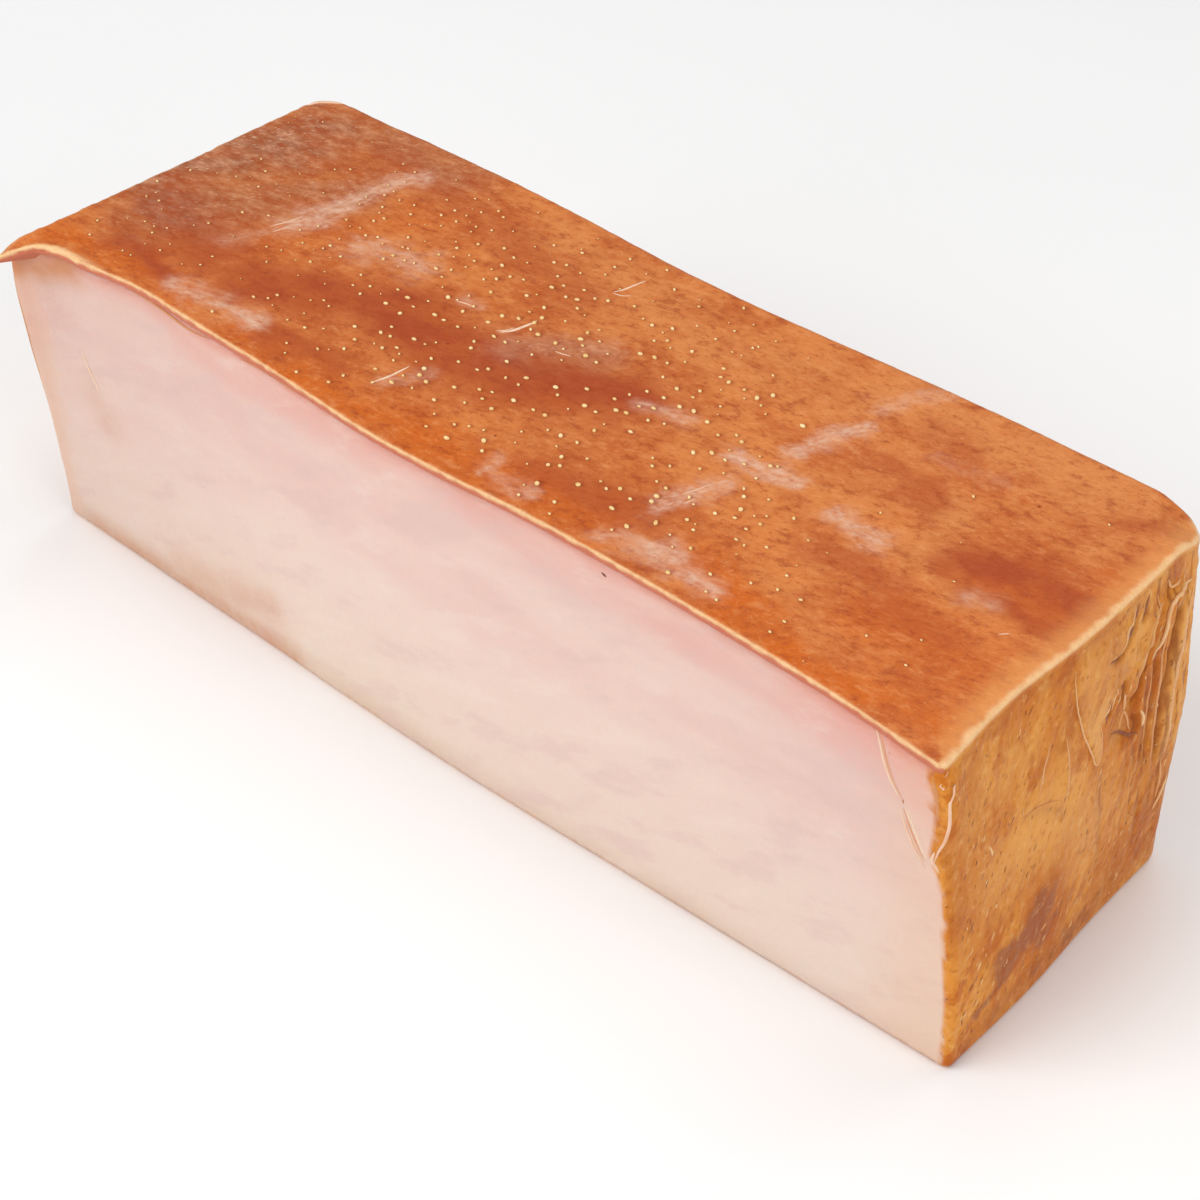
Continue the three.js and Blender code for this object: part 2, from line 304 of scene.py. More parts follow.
# Strokes of the knife on the smoked end, as lines of (y, z), each with its half width and its height. A
# height of less than nothing is a groove, and the higher or deeper a stroke is, the paler or darker: a ridge
# is paler fat with a painted highlight, and a groove holds painted shade.
STROKE_SHADE = 1.4
END_STROKES = [
    ([(20.7, 57.1), (19.6, 51.5), (18.5, 48.9), (17.0, 44.3)], 0.7, -0.9),
    ([(22.9, 62.8), (19.6, 59.9), (18.6, 55.7), (17.6, 51.0)], 0.8, 0.6),
    ([(30.9, 60), (28.5, 54.4), (26.7, 45.7), (24.9, 36.7), (25.3, 25.8)], 0.8, -1.0),
    ([(33, 61), (30.6, 55), (28.6, 46), (27, 37), (27.4, 24)], 1.2, 0.6),
    ([(30.4, 62.5), (25.4, 61.3), (23.8, 57.3), (21.7, 53.2)], 0.7, 0.8),
    ([(24.6, 58), (23.2, 52), (22.2, 45), (21.4, 38), (21.6, 31)], 0.7, -0.5),
    ([(16.2, 67.5), (15, 63.7), (13.2, 60.2), (11.1, 58.8), (8.2, 59.4)], 0.5, -0.6),
    ([(19.3, 66), (18.0, 63.9), (17.0, 61.8)], 0.5, -0.5),
    ([(10.3, 51.6), (10.2, 49.9), (9.3, 47.4)], 0.7, -0.6),
    ([(12.9, 53.4), (13.8, 50.9), (13.5, 47.3)], 0.7, -0.7),
    ([(11.6, 42.5), (14.0, 41.3), (17.0, 38.8), (18.7, 38.7)], 0.5, -0.5),
    ([(17.9, 43), (18.2, 40.6), (17.2, 38.9)], 0.6, -0.6),
    ([(-6.9, 54), (-8.6, 48.9), (-9.4, 45.3)], 0.6, 0.2),
    ([(-2.9, 53), (-2.0, 43.6), (-2.7, 38.9)], 0.6, 0.2),
    ([(-14.5, 42.6), (-9, 41), (-4, 38), (-1.5, 34)], 1.0, -0.15),
    ([(7.6, 40), (8.2, 30), (9.5, 20), (10.5, 12)], 0.8, -0.15),
]
# The torn hollow beside the tongue of smeared fat, and the tongue's two edges as their place y at each height
HOLLOW_MIDDLE = (14.2, 44)
HOLLOW_RADII = (5.2, 5.4)
HOLLOW_DEPTH = 0.7
TONGUE_TIP = 40.2
TONGUE_THICKNESS = 0.45
tongue_left = smooth_line([
    (40.2, 6.2), (41.6, 5.2), (44.2, 4.2), (47.3, 2.9), (50.4, 1.4), (58.1, -0.7), (66, -1),
])
tongue_right = smooth_line([
    (40.2, 6.6), (41.2, 7.3), (44.2, 7.5), (48.8, 6.8), (50.8, 9.7), (54, 14), (56, 19), (66, 20),
])
# The bulge of the end's front corner, where the smoked skin peels off the fat
BULGE_OUT = 2.1
BULGE_HEIGHT = 57
BULGE_HALF = 8.5
BULGE_FROM = -28
BULGE_FULL = -35
BULGE_REACH = 6


def bulge_out(z):
    return BULGE_OUT * np.cos(np.clip((z - BULGE_HEIGHT) / BULGE_HALF, -1, 1) * math.pi / 2)


def end_relief(y, z):
    """The relief of the smoked end, the painted shade in its grooves and torn hollow, and how pale it
    makes the fat, with a painted highlight on its ridges.
    """
    relief, dark, pale = np.zeros((3, len(y)))
    for height, shape in stroke_shapes(y, z, END_STROKES):
        relief += height * shape
        if height < 0:
            dark = np.maximum(dark, shape * min(1, -height * STROKE_SHADE))
        else:
            pale = np.maximum(pale, shape * min(1, height * STROKE_SHADE))
    reach = np.hypot((y - HOLLOW_MIDDLE[0]) / HOLLOW_RADII[0], (z - HOLLOW_MIDDLE[1]) / HOLLOW_RADII[1])
    hollow = 1 - smoothstep(reach, 0.6, 1.05)
    inside = np.minimum(y - tongue_left(z), tongue_right(z) - y)
    tongue = smoothstep(inside, -0.2, 0.4) * smoothstep(z, TONGUE_TIP - 0.3, TONGUE_TIP + 0.8)
    relief += bulge_out(z) * (1 - smoothstep(y, BULGE_FULL, BULGE_FROM))
    relief += TONGUE_THICKNESS * tongue - HOLLOW_DEPTH * hollow
    tip = 1 - smoothstep(z, 46, 58)
    # Painted shade fills the torn hollow
    dark = np.maximum(dark, hollow * 0.3)
    pale = np.maximum.reduce([pale, patches(y, z, END_PALE_AND_HIGHLIT), tongue * lerp(0.3, 0.65, tip)])
    return relief, dark, pale


# The border of the smoked skin that wraps from the end onto the front, as its place x at each height
wrap_border = smooth_line([
    (0, 108.6), (10, 108.3), (20, 107.8), (30, 107.3), (41, 106.4), (45, 105.2), (48, 104.3), (52, 104.8),
    (56, 104.8), (60, 103.9), (63, 102.9), (66, 101.6),
])
# How far below the rind the cut fat is salmon red, and how far the end's stains stray from their lines
SALMON_REACH = 1.6
STAIN_WARP = 4
# Soft brown stains on the end as lines of (y, z), and on the cut front as lines of (x, z), each with its
# half width and its strength
END_STAINS = [
    ([(-17, 16), (-12, 19), (-8, 18)], 6, 1.15),
    ([(-8, 11), (-1, 15)], 4, 0.85),
    ([(-28, 3), (-10, 4), (10, 5), (30, 7)], 5, 0.7),
    ([(2, 2), (20, 10), (34, 22)], 6, 0.6),
    ([(-24, 9), (-20.2, 11.7), (-17.4, 12.9)], 1.6, 1.1),
    ([(22, 60), (20, 50), (21, 36), (23, 24)], 3.2, 0.4),
    ([(-30, 64), (-10, 65), (8, 66), (22, 66)], 1.6, 0.5),
    ([(-34.5, 44), (-34, 30), (-34.5, 4)], 1.6, 0.6),
    ([(12, 52), (9, 62)], 3, 0.45),
    ([(-26, 60), (-30, 46)], 4, 0.35),
    ([(24.5, 49), (22, 41)], 1.8, 0.7),
    ([(0.5, 57.5), (-2, 54), (-3.4, 51)], 1.8, 0.6),
    ([(-31, 61), (-32, 50), (-32.5, 30)], 3, 0.4),
    ([(30, 64), (24, 66)], 2.5, 0.5),
]
# Where the end is palest: its smooth middle, and the ridge beside its right-hand groove, which is paler fat
# with a painted highlight along it
END_PALE_AND_HIGHLIT = [
    ([(-20, 36), (-6, 36), (5, 29)], 9, 0.42),
    ([(-24, 52), (-14, 54)], 6, 0.2),
    ([(33, 57), (32.5, 40), (31, 26)], 2.2, 0.4),
    ([(28.5, 58), (26.8, 50), (26, 40)], 1.1, 0.45),
]
FRONT_STAINS = [
    ([(-109, 61.5), (-104, 61), (-97.5, 63)], 3, 1),
    ([(-100, 1.5), (-70, 2), (-42, 2)], 3.2, 0.55),
    ([(-72, 6), (-60, 8), (-48, 10)], 4.5, 0.4),
    ([(-96, 36), (-92, 30)], 4, 0.25),
]
# The line of the knife on the front from (x, z) to (x, z), and how far the flap beyond it stands out
KNIFE_TOP = (92.6, 66)
KNIFE_FOOT = (103.4, 46.5)
FLAP_OUT = 0.7
# Thin dents in the front as lines of (x, z), each with its half width and its height
FRONT_STROKES = [
    ([(-98.1, 44.9), (-96, 40), (-94, 36.4)], 0.8, -0.35),
    ([(-88, 39.8), (-85.3, 39.4)], 0.8, -0.3),
    ([(-109, 47.5), (-104, 46.6), (-101, 44)], 0.6, -0.3),
    ([(-87.3, 59.4), (-78, 59.6), (-70.3, 58.8)], 1.0, -0.15),
    ([(-67.3, 45.2), (-60, 44.4), (-54.5, 45.3)], 1.0, -0.12),
    ([(26.8, 45.1), (40.3, 42.1), (57.6, 41.7), (70.2, 40.9)], 1.0, -0.12),
    ([(-11.5, 36.8), (0.7, 34.6), (17.4, 35.2)], 1.0, -0.1),
    ([(86.8, 58.3), (88.1, 53.9), (89.3, 51.5)], 0.6, -0.12),
]


def front_relief(x, z):
    """The relief of the cut front: a faint swell, the flap past the line of the knife, and thin dents."""
    swell = 0.45 * np.sin(x / 17 + z / 30) * np.sin(z / 15 - x / 60)
    down = np.clip((KNIFE_TOP[1] - z) / (KNIFE_TOP[1] - KNIFE_FOOT[1]), 0, 1)
    past_knife = x - lerp(KNIFE_TOP[0], KNIFE_FOOT[0], down)
    flap = FLAP_OUT * smoothstep(past_knife, -0.9, 0.9) * smoothstep(z, 45.6, 47.4)
    dents = sum(height * shape for height, shape in stroke_shapes(x, z, FRONT_STROKES))
    return (swell + flap) * smoothstep(z, 0, 6) * (1 - smoothstep(z, HEIGHT - 5, HEIGHT - RIND)) + dents


def fat_mesh():
    bm = gridded_box(FAT_CELLS)
    end_edges = [e for e in bm.edges if all(v.co.x > ON_FACE for v in e.verts)]
    bmesh.ops.subdivide_edges(bm, edges=end_edges, cuts=1, use_grid_fill=True)
    make_one_face(bm, 1)
    mesh = mesh_from(bm, "fat_block")
    u, v, w = read_points(mesh).T
    x, y = round_corners(crowd_ends(u, FAT_CROWDING) * HALF_LENGTH, crowd_ends(v, FAT_CROWDING) * HALF_WIDTH)
    x, y, z = round_edges(x, y, (w + 1) / 2 * FAT_TOP, 0, FAT_TOP, FAT_EDGES, FOOT_EDGE)
    points = push_to_form(x, y, z, under_rind=True)
    px, py, pz = points.T.copy()

    below_rind = 1 - smoothstep(pz, 63, 66)
    is_end = u > ON_FACE
    is_front = v < -ON_FACE
    relief, dark, pale = end_relief(py, pz)
    streaks = rough(points, (5, 1.0, 16), 1)
    torn = smoothstep(py, 12, 22) * smoothstep(pz, 8, 30)
    end_grain = lerp(0.10, 0.34, torn) * streaks + 0.12 * rough(points, (3, 2, 3), 6)
    points[:, 0] += (relief + end_grain) * is_end * smoothstep(pz, 1, 6) * below_rind
    by_bulge = smoothstep(px, right_face(py, pz) - BULGE_REACH, right_face(py, pz)) * is_front * ~is_end
    points[:, 0] += bulge_out(pz) * by_bulge * below_rind
    points[:, 1] -= (front_relief(px, pz) + 0.05 * rough(points, (14, 5, 5), 2)) * is_front * below_rind
    points[:, 1] += 0.35 * rough(points, (9, 9, 14), 3) * (v > ON_FACE) * below_rind
    points[:, 0] -= 0.35 * rough(points, (9, 7, 14), 4) * (u < -ON_FACE) * below_rind
    write_points(mesh, points)

    ragged = rough(points, (1.8, 1.8, 2.4), 5)
    border = wrap_border(pz) + lerp(0.4, 0.9, smoothstep(pz, 20, 45)) * ragged
    wrapped = smoothstep(points[:, 0], border - 0.5, border + 0.3)
    foot = 1 - smoothstep(pz, 0.3, 1.2 + 0.7 * ragged)
    smoked = np.where(is_front, np.maximum(wrapped, foot * 0.75), 1)
    by_foot = 0.5 * (1 - smoothstep(pz, 1, 9))
    hidden_stains = by_foot + 0.8 * smoothstep(rough(points, (34, 24, 15), 8), 0.1, 0.6)
    warped_y = py + STAIN_WARP * rough(points, (8, 8, 8), 9)
    warped_z = pz - STAIN_WARP * rough(points, (8, 8, 8), 10)
    shown_stains = patches(warped_y, warped_z, END_STAINS) * is_end + patches(px, pz, FRONT_STAINS) * is_front
    uneven = 1 + 0.5 * rough(points, (4, 4, 4), 18)
    # Painted shade in the recessed furrows of the torn streaks
    torn_streaks = smoothstep(-streaks, 0.1, 0.5) * torn
    by_left = 1 - smoothstep(px + HALF_LENGTH, 1.5, 6.5 + 2 * ragged)
    by_right = 0.8 * smoothstep(px, 86 + 5 * ragged, 106)
    paint(
        mesh, smoked=smoked, dark=np.maximum(dark, torn_streaks * 0.7) * is_end, pale=pale * is_end,
        stain=np.where(is_end | is_front, shown_stains * uneven, hidden_stains),
        salmon=np.exp(-np.maximum(rind_height(px, py) - RIND - pz, 0) / SALMON_REACH) * is_front,
        by_ends=np.maximum(by_left, by_right) * is_front,
    )
    return mesh


class Nodes:
    """Adds shader nodes one after the other and links their inputs."""

    def __init__(self, tree):
        self.tree = tree

    def add(self, kind, inputs=None, **settings):
        node = self.tree.nodes.new(kind)
        for name, value in settings.items():
            setattr(node, name, value)
        for name, value in (inputs or {}).items():
            self.join(value, node.inputs[name])
        return node

    def join(self, value, socket):
        if isinstance(value, bpy.types.NodeSocket):
            self.tree.links.new(value, socket)
        else:
            socket.default_value = value

    def group(self, tree, inputs):
        return self.add("ShaderNodeGroup", inputs, node_tree=tree).outputs[0]

    def painted(self, name):
        return self.add("ShaderNodeAttribute", attribute_name=name).outputs["Fac"]

    def math(self, operation, a, b=0.0, clamp=True):
        return self.add("ShaderNodeMath", {0: a, 1: b}, operation=operation, use_clamp=clamp).outputs[0]

    def ramp(self, value, low, high, to_low=0.0, to_high=1.0):
        inputs = {"Value": value, "From Min": low, "From Max": high, "To Min": to_low, "To Max": to_high}
        return self.add("ShaderNodeMapRange", inputs, interpolation_type="SMOOTHSTEP").outputs["Result"]

    def mix(self, share, a, b):
        return self.add("ShaderNodeMix", {0: share, 6: a, 7: b}, data_type="RGBA").outputs[2]

    def tint(self, tone, mask, strength, over):
        """Lays a colour over another where a mask is, as far as its strength goes."""
        return self.mix(self.math("MULTIPLY", mask, strength), tone, over)

    def bands(self, value, stops):
        """Colours at places from 0 to 1."""
        node = self.add("ShaderNodeValToRGB", {"Fac": value})
        for element, (position, tone) in zip(node.color_ramp.elements, (stops[0], stops[-1])):
            element.position = position
            element.color = tone
        for position, tone in stops[1:-1]:
            node.color_ramp.elements.new(position).color = tone
        return node.outputs["Color"]

    def placed(self, size, turn=(0, 0, 0), seed=0):
        """Object coordinates, turned and counted in grains of this size in millimetres."""
        coordinates = self.add("ShaderNodeTexCoord").outputs["Object"]
        turned = self.add("ShaderNodeMapping", {"Vector": coordinates, "Rotation": turn}).outputs[0]
        grains = tuple(1 / (s * MM) for s in size)
        inputs = {"Vector": turned, "Scale": grains, "Location": (seed * 7.3, seed * 3.1, 0)}
        return self.add("ShaderNodeMapping", inputs).outputs[0]

    def noise(self, size, turn=(0, 0, 0), detail=3.0, roughness=0.6, seed=0):
        place = self.placed(size, turn, seed)
        inputs = {"Vector": place, "Scale": 1.0, "Detail": detail, "Roughness": roughness}
        return self.add("ShaderNodeTexNoise", inputs).outputs["Fac"]

    def bump(self, height, depth):
        return self.add("ShaderNodeBump", {"Height": height, "Distance": depth * MM}).outputs["Normal"]


def colour(red, green, blue):
    """A colour as seen on a screen, from 0 to 255, as the shader counts it."""
    def to_linear(value):
        value /= 255
        return value / 12.92 if value <= 0.04045 else ((value + 0.055) / 1.055) ** 2.4
    return (to_linear(red), to_linear(green), to_linear(blue), 1.0)


def new_material(name, subsurface, reach):
    """A material with a little light passing through its surface, redder the deeper it goes."""
    material = bpy.data.materials.new(name)
    material.use_nodes = True
    skin = material.node_tree.nodes["Principled BSDF"]
    skin.inputs["Subsurface Weight"].default_value = subsurface
    skin.inputs["Subsurface Radius"].default_value = (1.0, 0.45, 0.3)
    skin.inputs["Subsurface Scale"].default_value = reach * MM
    return material, Nodes(material.node_tree), skin


def set_skin(nodes, skin, tone, uneven, roughness):
    """Colours a material, and lets its roughness follow a noise from one value to another."""
    nodes.join(tone, skin.inputs["Base Color"])
    nodes.join(nodes.ramp(uneven, 0.3, 0.7, *roughness), skin.inputs["Roughness"])


def new_group(name, inputs, output):
    tree = bpy.data.node_groups.new(name, "ShaderNodeTree")
    for socket, kind in inputs:
        tree.interface.new_socket(name=socket, in_out="INPUT", socket_type=kind)
    tree.interface.new_socket(name=output[0], in_out="OUTPUT", socket_type=output[1])
    nodes = Nodes(tree)
    return tree, nodes, nodes.add("NodeGroupInput").outputs, nodes.add("NodeGroupOutput").inputs[output[0]]


def specks_group():
    """Scattered specks: each cell of the pattern has a chance of holding one, of uneven size."""
    inputs = [("Vector", "NodeSocketVector"), ("Size", "NodeSocketFloat"), ("Share", "NodeSocketFloat")]
    tree, nodes, given, result = new_group("specks", inputs, ("Mask", "NodeSocketFloat"))
    cells = nodes.add("ShaderNodeTexVoronoi", {"Vector": given["Vector"], "Scale": 1.0}).outputs
    chance = nodes.add("ShaderNodeSeparateColor", {"Color": cells["Color"]}).outputs
    chosen = nodes.math("LESS_THAN", chance[0], given["Share"])
    reach = nodes.math("MULTIPLY", given["Size"], nodes.ramp(chance[1], 0, 1, 0.4, 1))
    inner = nodes.math("MULTIPLY", reach, 0.5)
    spot = nodes.ramp(cells["Distance"], reach, inner)
    nodes.join(nodes.math("MULTIPLY", spot, chosen), result)
    return tree


def smoked_tone_group():
    """The gold of smoked fat: drifts of ochre, rust and straw."""
    tree, nodes, _, result = new_group("smoked_tone", [], ("Color", "NodeSocketColor"))
    drift = nodes.noise((22, 13, 26), turn=(0.3, 0, 0), seed=1)
    gold = nodes.mix(nodes.ramp(drift, 0.35, 0.65), colour(208, 120, 30), colour(226, 148, 56))
    veins = nodes.noise((7, 4.2, 7.5), turn=(0.45, 0, 0), roughness=0.72, seed=7)
    gold = nodes.mix(nodes.ramp(veins, 0.5, 0.66, 0, 0.7), gold, colour(188, 92, 12))
    nodes.join(nodes.mix(nodes.ramp(veins, 0.44, 0.28, 0, 0.5), gold, colour(238, 178, 94)), result)
    return tree


specks = specks_group()
smoked_tone = smoked_tone_group()


def fat_material():
    material, nodes, skin = new_material("fresh_and_smoked_fat", 0.2, 2.5)
    place = nodes.add("ShaderNodeTexCoord").outputs["Object"]
    along, _, up = nodes.add("ShaderNodeSeparateXYZ", {"Vector": place}).outputs
    fresh = nodes.bands(nodes.math("DIVIDE", up, HEIGHT * MM), [
        (0.0, colour(218, 190, 167)), (0.1, colour(234, 212, 195)), (0.4, colour(235, 209, 196)),
        (0.75, colour(231, 192, 182)), (0.92, colour(230, 174, 162)), (1.0, colour(226, 154, 134)),
    ])
    clouds = nodes.noise((60, 30, 15), detail=2)
    fresh = nodes.mix(nodes.ramp(clouds, 0.38, 0.66, 0, 0.6), fresh, colour(236, 212, 198))
    marbling = nodes.noise((17, 9, 6), turn=(0, 0.35, 0), detail=4, seed=3)
    fresh = nodes.mix(nodes.ramp(marbling, 0.5, 0.66, 0, 0.4), fresh, colour(222, 190, 182))
    fresh = nodes.mix(nodes.ramp(marbling, 0.46, 0.3, 0, 0.35), fresh, colour(240, 219, 206))
    fresh = nodes.tint(fresh, nodes.painted("by_ends"), 0.5, colour(234, 188, 156))
    # Painted shade: the cut front darkens towards its left end, where the light falls more strongly
    fresh = nodes.mix(nodes.ramp(along, -35 * MM, -100 * MM, 0, 0.2), fresh, colour(192, 150, 140))
    uneven = nodes.noise((7, 7, 2), detail=2, seed=11)
    salmon = nodes.math("MULTIPLY", nodes.painted("salmon"), nodes.ramp(uneven, 0.35, 0.65, 0.25, 1))
    fresh = nodes.mix(salmon, fresh, colour(218, 130, 104))
    fresh = nodes.tint(fresh, nodes.painted("stain"), 0.85, colour(204, 138, 94))

    gold = nodes.group(smoked_tone, {})
    # Paler fat on the tongue and the smooth middle, with a painted highlight along the end's ridges
    gold = nodes.tint(gold, nodes.painted("pale"), 0.75, colour(242, 184, 108))
    stain = nodes.painted("stain")
    stain_tone = nodes.mix(nodes.ramp(stain, 0.62, 0.95), colour(176, 86, 4), colour(150, 76, 40))
    gold = nodes.tint(gold, stain, 0.8, stain_tone)
    grain = nodes.noise((1.3, 1.1, 1.7), turn=(0.4, 0, 0), detail=2, seed=5)
    gold = nodes.mix(nodes.ramp(grain, 0.56, 0.72, 0, 0.5), gold, colour(176, 86, 8))
    gold = nodes.mix(nodes.ramp(grain, 0.42, 0.28, 0, 0.35), gold, colour(244, 190, 108))
    dashes = nodes.placed((1.1, 0.8, 1.6), turn=(0.5, 0, 0))
    dash = nodes.group(specks, {"Vector": dashes, "Size": 0.3, "Share": 0.16})
    gold = nodes.tint(gold, dash, 0.75, colour(140, 62, 4))
    # Painted shade in the end's grooves, its torn hollow and its recessed furrows
    gold = nodes.tint(gold, nodes.painted("dark"), 0.9, colour(140, 62, 4))

    set_skin(nodes, skin, nodes.mix(nodes.painted("smoked"), fresh, gold), grain, (0.3, 0.5))
    nodes.join(nodes.bump(grain, 0.2), skin.inputs["Normal"])
    skin.inputs["Specular IOR Level"].default_value = 0.15
    return material


fat = add_piece(fat_mesh(), fat_material())
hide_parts("fatback")


# ---------------------------------------------------------------------------------------------------
# The rind. Scalded, smoked pork skin, amber to red brown, which lies on the fat as one even layer. Its cut
# edge stands a little proud of the front. Bristles once grew all over it, and left their follicles behind.

RIND_CELLS = (450, 158, 5)
RIND_CROWDING = (0.1, 0.15)
RIND_PROUD = 0.12
RIND_EDGES = {"front": 0.5, "right": 1.1, "back": 1.5, "left": 1.2}
RIND_UNDER_EDGE = 0.3
FOLLICLES = 440
FOLLICLE_GAP = 1.9
FOLLICLE_RADIUS = 0.62
FOLLICLE_DEPTH = 0.16
# A few follicles stand close to another one. Each has a painted shadow a little beside its pit, as if cast by
# its stub
CLOSE_GAP = 0.8
CLOSE_SHARE = 0.06
FOLLICLE_SHADOW_BESIDE = (0.2, 0.22)

# Tones of the skin as lines of (x, y), each with its half width and its strength
RIND_DARK = [
    ([(-93, -23), (-84, -22), (-80, -26)], 4.5, 1),
    ([(-98, -10), (-88, -12), (-76, -14)], 8, 0.9),
    ([(-64, -17), (-52, -10), (-38, -5), (-24, -10)], 8, 1.15),
    ([(-30, -8), (-8, -6), (1, -3), (10, 1)], 8, 1.1),
    ([(-48, -25), (-38, -24)], 4, 0.8),
    ([(14, -23), (27, -21), (35, -20)], 5.5, 0.75),
    ([(-78, 30), (-60, 28), (-36, 22), (-16, 18)], 6, 0.5),
    ([(82, 4), (90, 6.5), (99, 8)], 5.2, 1.3),
    ([(86, -1), (98, 1)], 4, 0.8),
    ([(55, 15), (67, 14)], 4, 0.6),
    ([(56, 27), (64, 27)], 3.2, 0.45),
    ([(60, -8), (73, -9)], 4, 0.5),
    ([(76, -13), (90, -14)], 5, 0.5),
    ([(93, 28), (99, 30)], 3, 0.6),
]
RIND_TAN = [
    ([(-30, 30), (-6, 26), (9, 22), (25, 24), (42, 27)], 9, 0.8),
    ([(44, 32), (64, 33), (86, 32)], 9, 0.95),
    ([(72, 14), (72, 4), (80, -1), (89, -2)], 4.5, 1.1),
    ([(20, 5), (40, -2), (55, 6)], 8, 0.5),
    ([(60, -22), (76, -27)], 4, 0.5),
    ([(1, -16), (13, -13)], 5, 0.4),
    ([(90, 20), (99, 22)], 5, 0.6),
    ([(-56, 9), (-44, 8)], 5, 0.4),
]
RIND_AMBER = [
    ([(84, 2), (94, 3)], 5, 0.9),
    ([(-104, -31), (-88, -27), (-70, -28)], 4.5, 0.9),
    ([(-53, -30), (-38, -31), (-12, -30), (8, -28), (28, -26)], 5, 0.9),
    ([(48, -24), (62, -30), (74, -31), (88, -31)], 4.5, 1),
    ([(78, -15), (92, -16)], 7, 0.8),
    ([(88, -28), (97, -28)], 5, 0.8),
    ([(98, 4), (100, 15)], 4, 0.7),
    ([(-72, -4), (-62, 10), (-56, 20)], 5, 0.4),
]
# Pale patches where the skin was rubbed, each with the width of its streaks as well
RIND_RUBBED = [
    ([(-79, -11), (-75, -3), (-71, 2)], 2.4, 0.5, 0.5),
    ([(-73.5, 2), (-71.6, 7), (-70.3, 11)], 3.2, 1, 0.8),
    ([(-71.8, 12), (-69.2, 20), (-66.5, 28.5)], 2.2, 1, 0.5),
    ([(-59, 4.2), (-50, 7.5), (-44, 7)], 3.6, 0.75, 1.2),
    ([(-75, -27), (-63.5, -25.5), (-56.5, -24.7)], 2.8, 0.8, 1),
    ([(-58, -25), (-53.5, -25)], 2.9, 1, 1.2),
    ([(-31.7, 4.4), (-27.8, 4.9)], 1.4, 0.6, 0.5),
    ([(-24, -23), (-22, -18), (-21, -15)], 1.8, 0.6, 0.5),
    ([(-16, -0.5), (-9, 5), (-2, 9)], 4, 0.4, 0.6),
    ([(13, 1.4), (17.4, 2.4), (22.5, 3)], 1.7, 0.8, 0.7),
    ([(34.8, 0.8), (40.7, 1.7), (46.5, 1.6)], 2.3, 1, 0.8),
    ([(41.5, 9), (43.8, 15), (46, 21)], 2.3, 0.95, 0.5),
    ([(34, -17), (35.7, -11.4), (38.2, -6.3)], 2.2, 0.9, 0.5),
    ([(57, -0.2), (61.5, -0.7), (66.4, -1.2)], 2.4, 0.9, 0.8),
    ([(30.5, -28.6), (35.6, -26)], 1.8, 0.7, 1.2),
    ([(36.8, -26.6), (41, -24.8), (45, -25.8)], 2.8, 1, 1.4),
    ([(47.5, -27.4), (51, -26.7), (54.5, -27)], 1.9, 0.95, 1.2),
    ([(4.9, -29.5), (5.8, -25)], 1.4, 0.7, 0.5),
    ([(8.7, -28.8), (14, -27.8)], 1.7, 0.7, 1.2),
    ([(44.5, 27), (48, 33), (51, 37.5)], 2.2, 0.6, 0.6),
    ([(85.5, -2), (89, -1.8)], 2, 0.7, 1.2),
    ([(60, 22), (72, 24)], 2, 0.35, 0.8),
]
# Darker brown skin under a painted grey-brown sheen, a reflection of light, most of it over the left end
RIND_DARK_UNDER_SHEEN = [
    ([(-107, -4), (-98, 12), (-94, 28)], 11, 0.9),
    ([(-96, -12), (-84, 2), (-74, 16)], 9, 0.6),
    ([(-84, 34), (-60, 34)], 6, 0.5),
    ([(-16, 0), (-4, 6)], 5, 0.4),
]
# The turn of the skin's grain, and how far its tones stray from their lines
RIND_RUN = -0.15
TONE_DRIFT = (5, 3)

seeded = np.random.default_rng(71)


def scattered_follicles():
    """Places of the follicles, closest over the middle of the rind and thin towards its rims."""
    places = np.zeros((0, 2))
    while len(places) < FOLLICLES:
        x = seeded.uniform(-104, 100)
        y = seeded.uniform(-31, 36)
        chance = lerp(0.3, 1, smoothstep(y, -30, -14)) * lerp(1, 0.3, smoothstep(y, 22, 34))
        chance = chance * lerp(0.3, 1, smoothstep(x, -78, -56)) * lerp(1, 0.02, smoothstep(x + y, 30, 62))
        if seeded.random() > chance:
            continue
        gap = CLOSE_GAP if seeded.random() < CLOSE_SHARE else FOLLICLE_GAP
        if len(places) == 0 or np.hypot(places[:, 0] - x, places[:, 1] - y).min() > gap:
            places = np.vstack([places, (x, y)])
    return places


follicles = scattered_follicles()
follicle_x, follicle_y = follicles.T
thinned = lerp(0.6, 1, smoothstep(follicle_x, -80, -20)) * lerp(1, 0.65, smoothstep(follicle_x, 35, 75))
thinned = thinned * lerp(1, 0.7, smoothstep(follicle_y, 12, 32))
follicle_sizes = seeded.uniform(0.45, 1.15, FOLLICLES) * thinned


def rubbed(a, b, marks):
    """Pale patches in broken streaks, which run along each line of points."""
    pale = np.zeros(len(a))
    for number, (line, half, strength, grain) in enumerate(marks):
        away, _ = from_line(a, b, line)
        near = np.flatnonzero(away < 2.5 * half)
        way = np.subtract(line[-1], line[0]) / math.dist(line[-1], line[0])
        along = a[near] * way[0] + b[near] * way[1]
        across = b[near] * way[0] - a[near] * way[1]
        places = np.stack([along, across, np.full(len(near), float(number))], axis=1)
        streaks = 0.5 + 0.5 * rough(places, (2.4 * grain, grain, 1), 21, 4)
        wavy = half * (1.2 + 0.8 * rough(places, (4, 4, 1), 22))
        shade = strength * np.exp(-(away[near] / wavy) ** 2) * (0.3 + 1.1 * streaks)
        pale[near] = np.maximum(pale[near], smoothstep(shade, 0, 1.4))
    return pale


